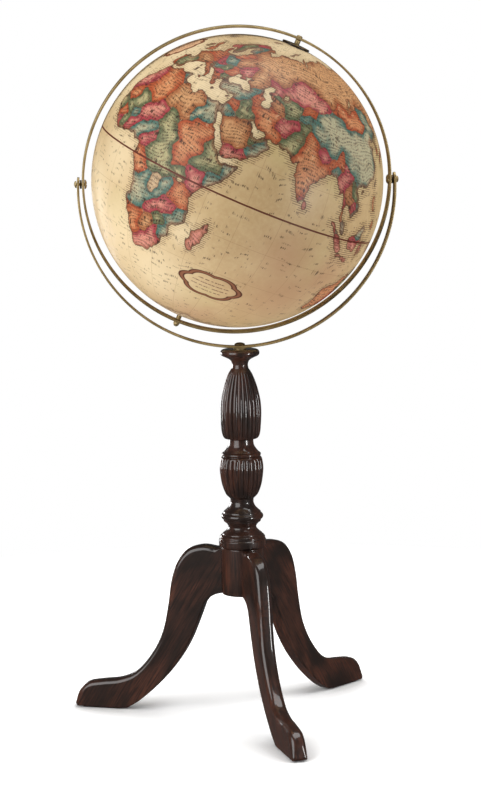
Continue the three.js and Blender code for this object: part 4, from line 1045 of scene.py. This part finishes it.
def hemisphere(name, node, sign, chart):
    """Half of the ball as a closed dish, with the map's distances kept on its points."""
    hole, seam = math.degrees(math.asin(POLE_HOLE / BALL_RADIUS)), math.degrees(SEAM / BALL_RADIUS)
    lats = sign * np.r_[np.linspace(seam, 90 - hole, MAP_ROWS), np.linspace(90 - hole, seam, INNER_ROWS)]
    lons = (np.arange(MAP_COLUMNS) + 0.5) * 360 / MAP_COLUMNS - 180
    grid = on_ball(np.stack(np.meshgrid(lons, lats), 2).reshape(-1, 2))
    radii = np.repeat([BALL_RADIUS, BALL_RADIUS - PLATE_THICKNESS], [MAP_ROWS, INNER_ROWS])
    turn = np.array(spin(-90 - FACING_LONGITUDE, "Z").to_3x3())
    points = grid @ turn.T * np.repeat(radii, MAP_COLUMNS)[:, None]
    faces = sheet_faces(len(lats), MAP_COLUMNS, wrap_rows=True)
    mesh = mesh_in(polar_place, name, "map_paper", points, faces)
    if mesh.polygons[0].normal.dot(mesh.polygons[0].center - globe_centre) < 0:
        mesh.flip_normals()
    fields = chart.countries(grid)
    # pale_paper_and_sheen holds paler paper and a painted softbox highlight
    for key, values in {"map_place": grid, "coast": chart.land(lons, lats, grid),
                        "countries_a": fields[:, :3], "countries_b": fields[:, 3:],
                        "pale_paper_and_sheen": patches(grid, PALE_PAPER_AND_SHEEN), "tanned": patches(grid, TANNED)}.items():
        store(mesh, key, values)
    piece_of(mesh, "globe", node)


# ---- CAD pieces that stay as they are ----
DRESSED = {"zinc_steel": ("dowel_screw", "hub_bolt", "hub_washer", "hub_nut", "leg_bolt", "leg_nut"),
           "antique_brass": ("cap_insert",), "pressed_board": ("equator_band",),
           "bearing_plastic": ("north_bushing", "south_bushing")}


def dress():
    """Gives each material to every CAD node whose name begins in one of its ways."""
    for slot, starts in DRESSED.items():
        for name, node in frame["nodes"].items():
            if name.startswith(starts):
                node.data.materials.clear()
                node.data.materials.append(MATERIALS[slot])


# ---- studio, in metres ----
FLOOR_RADIUS = 1.25
FLOOR_DEPTH = 0.0003        # under the feet
FLOOR_GLOW = 0.62           # in the open, fading to none where the object shades it
SKY_GLOW, SKY_REFLECTED = 0.15, 0.06
AIM_HEIGHT = 0.75
# Bearing in degrees from -Y towards +X, distance, height, size, power in watts, and whether the light
# falls on matt surfaces and shows in glossy ones.
SOFTBOXES = {"tall_softbox": (-51, 2.4, 1.25, (2.0, 2.3), 48, True, True),
             "side_fill": (-88, 2.2, 1.0, (1.6, 1.6), 19, True, False),
             "right_fill": (92, 2.4, 1.1, (1.8, 1.8), 42, True, False),
             "low_softbox": (49, 2.2, 0.42, (0.3, 0.8), 21, False, True),
             "back_softbox": (-150, 2.2, 0.35, (0.9, 0.6), 12, True, True),
             "overhead_softbox": (60, 0.5, 3.0, (2.0, 2.0), 46, True, True)}
CAMERA_PLACE = (-0.2535, -2.9656, 0.850)
CAMERA_BEARING, CAMERA_PITCH, CAMERA_ROLL = -5, 7.5, -0.85      # degrees
CAMERA_LENS, CAMERA_SENSOR = 96.4, 36.0                         # millimetres


def studio_floor():
    mesh = bpy.data.meshes.new("studio_floor")
    corners = [(x, y, -FLOOR_DEPTH) for x, y in arc((0, 0), FLOOR_RADIUS, 0, 357, 119)]
    mesh.from_pydata(corners, [], [tuple(range(len(corners)))])
    n = Nodes("studio_floor", roughness=0.9, base_color=(0.9, 0.9, 0.9, 1), specular_ior_level=0.0,
              emission_color=(1, 1, 1, 1))
    open_sky = n.add("ShaderNodeAmbientOcclusion", {"Distance": 0.5}, output=1)
    n.drive("Emission Strength", open_sky.ramp(0.6, 0.985, 0.0, FLOOR_GLOW))
    mesh.materials.append(n.owner)
    floor = add_object("studio_floor", mesh)
    floor.visible_glossy = False


def softbox(name, bearing, distance, height, size, power, on_matt, in_gloss):
    """An area light that faces the column."""
    data = bpy.data.lights.new(name, "AREA")
    data.shape = "RECTANGLE"
    data.size, data.size_y = size
    data.energy = power
    light = add_object(name, data)
    light.visible_diffuse, light.visible_glossy = on_matt, in_gloss
    turn = math.radians(bearing)
    light.location = (distance * math.sin(turn), -distance * math.cos(turn), height)
    aim = Vector((0, 0, min(height, AIM_HEIGHT))) - light.location
    light.rotation_euler = aim.to_track_quat("-Z", "Y").to_euler()


def studio_sky():
    """White behind the object, a soft even fill for matt surfaces and a dim one for reflections."""
    n = Nodes("studio", bpy.data.worlds, "Background", color=(1, 1, 1, 1))
    seen, glossy = (n.add("ShaderNodeLightPath", output=f"Is {kind} Ray") for kind in ("Camera", "Glossy"))
    inputs = {"Value": glossy, "To Min": SKY_GLOW, "To Max": SKY_REFLECTED}
    n.drive("Strength", seen.math("MAXIMUM", n.add("ShaderNodeMapRange", inputs)))
    bpy.context.scene.world = n.owner


def studio_camera():
    data = bpy.data.cameras.new("camera")
    data.lens, data.sensor_width = CAMERA_LENS, CAMERA_SENSOR
    camera = add_object("camera", data)
    turn = spin(CAMERA_BEARING, "Z") @ spin(90 - CAMERA_PITCH, "X") @ spin(CAMERA_ROLL, "Z")
    camera.matrix_world = Matrix.Translation(CAMERA_PLACE) @ turn
    bpy.context.scene.camera = camera


# ---- everything together ----
column_top()
column_middle()
hub()
for side, azimuth in LEG_AZIMUTHS.items():
    leg(side, azimuth)
    foot_pad(side, azimuth)
meridian_ring()
cradle_ring()
swivel()
pivot("right", 0)
pivot("left", 180)
poles()
hour_dial()
chart = Chart()
MATERIALS["map_paper"] = map_paper()
hemisphere("northern_map_dish", "north_hemisphere", 1, chart)
hemisphere("southern_map_dish", "south_hemisphere", -1, chart)
dress()

studio_floor()
studio_sky()
for name, settings in SOFTBOXES.items():
    softbox(name, *settings)
studio_camera()
bpy.context.scene.view_settings.view_transform = "Standard"
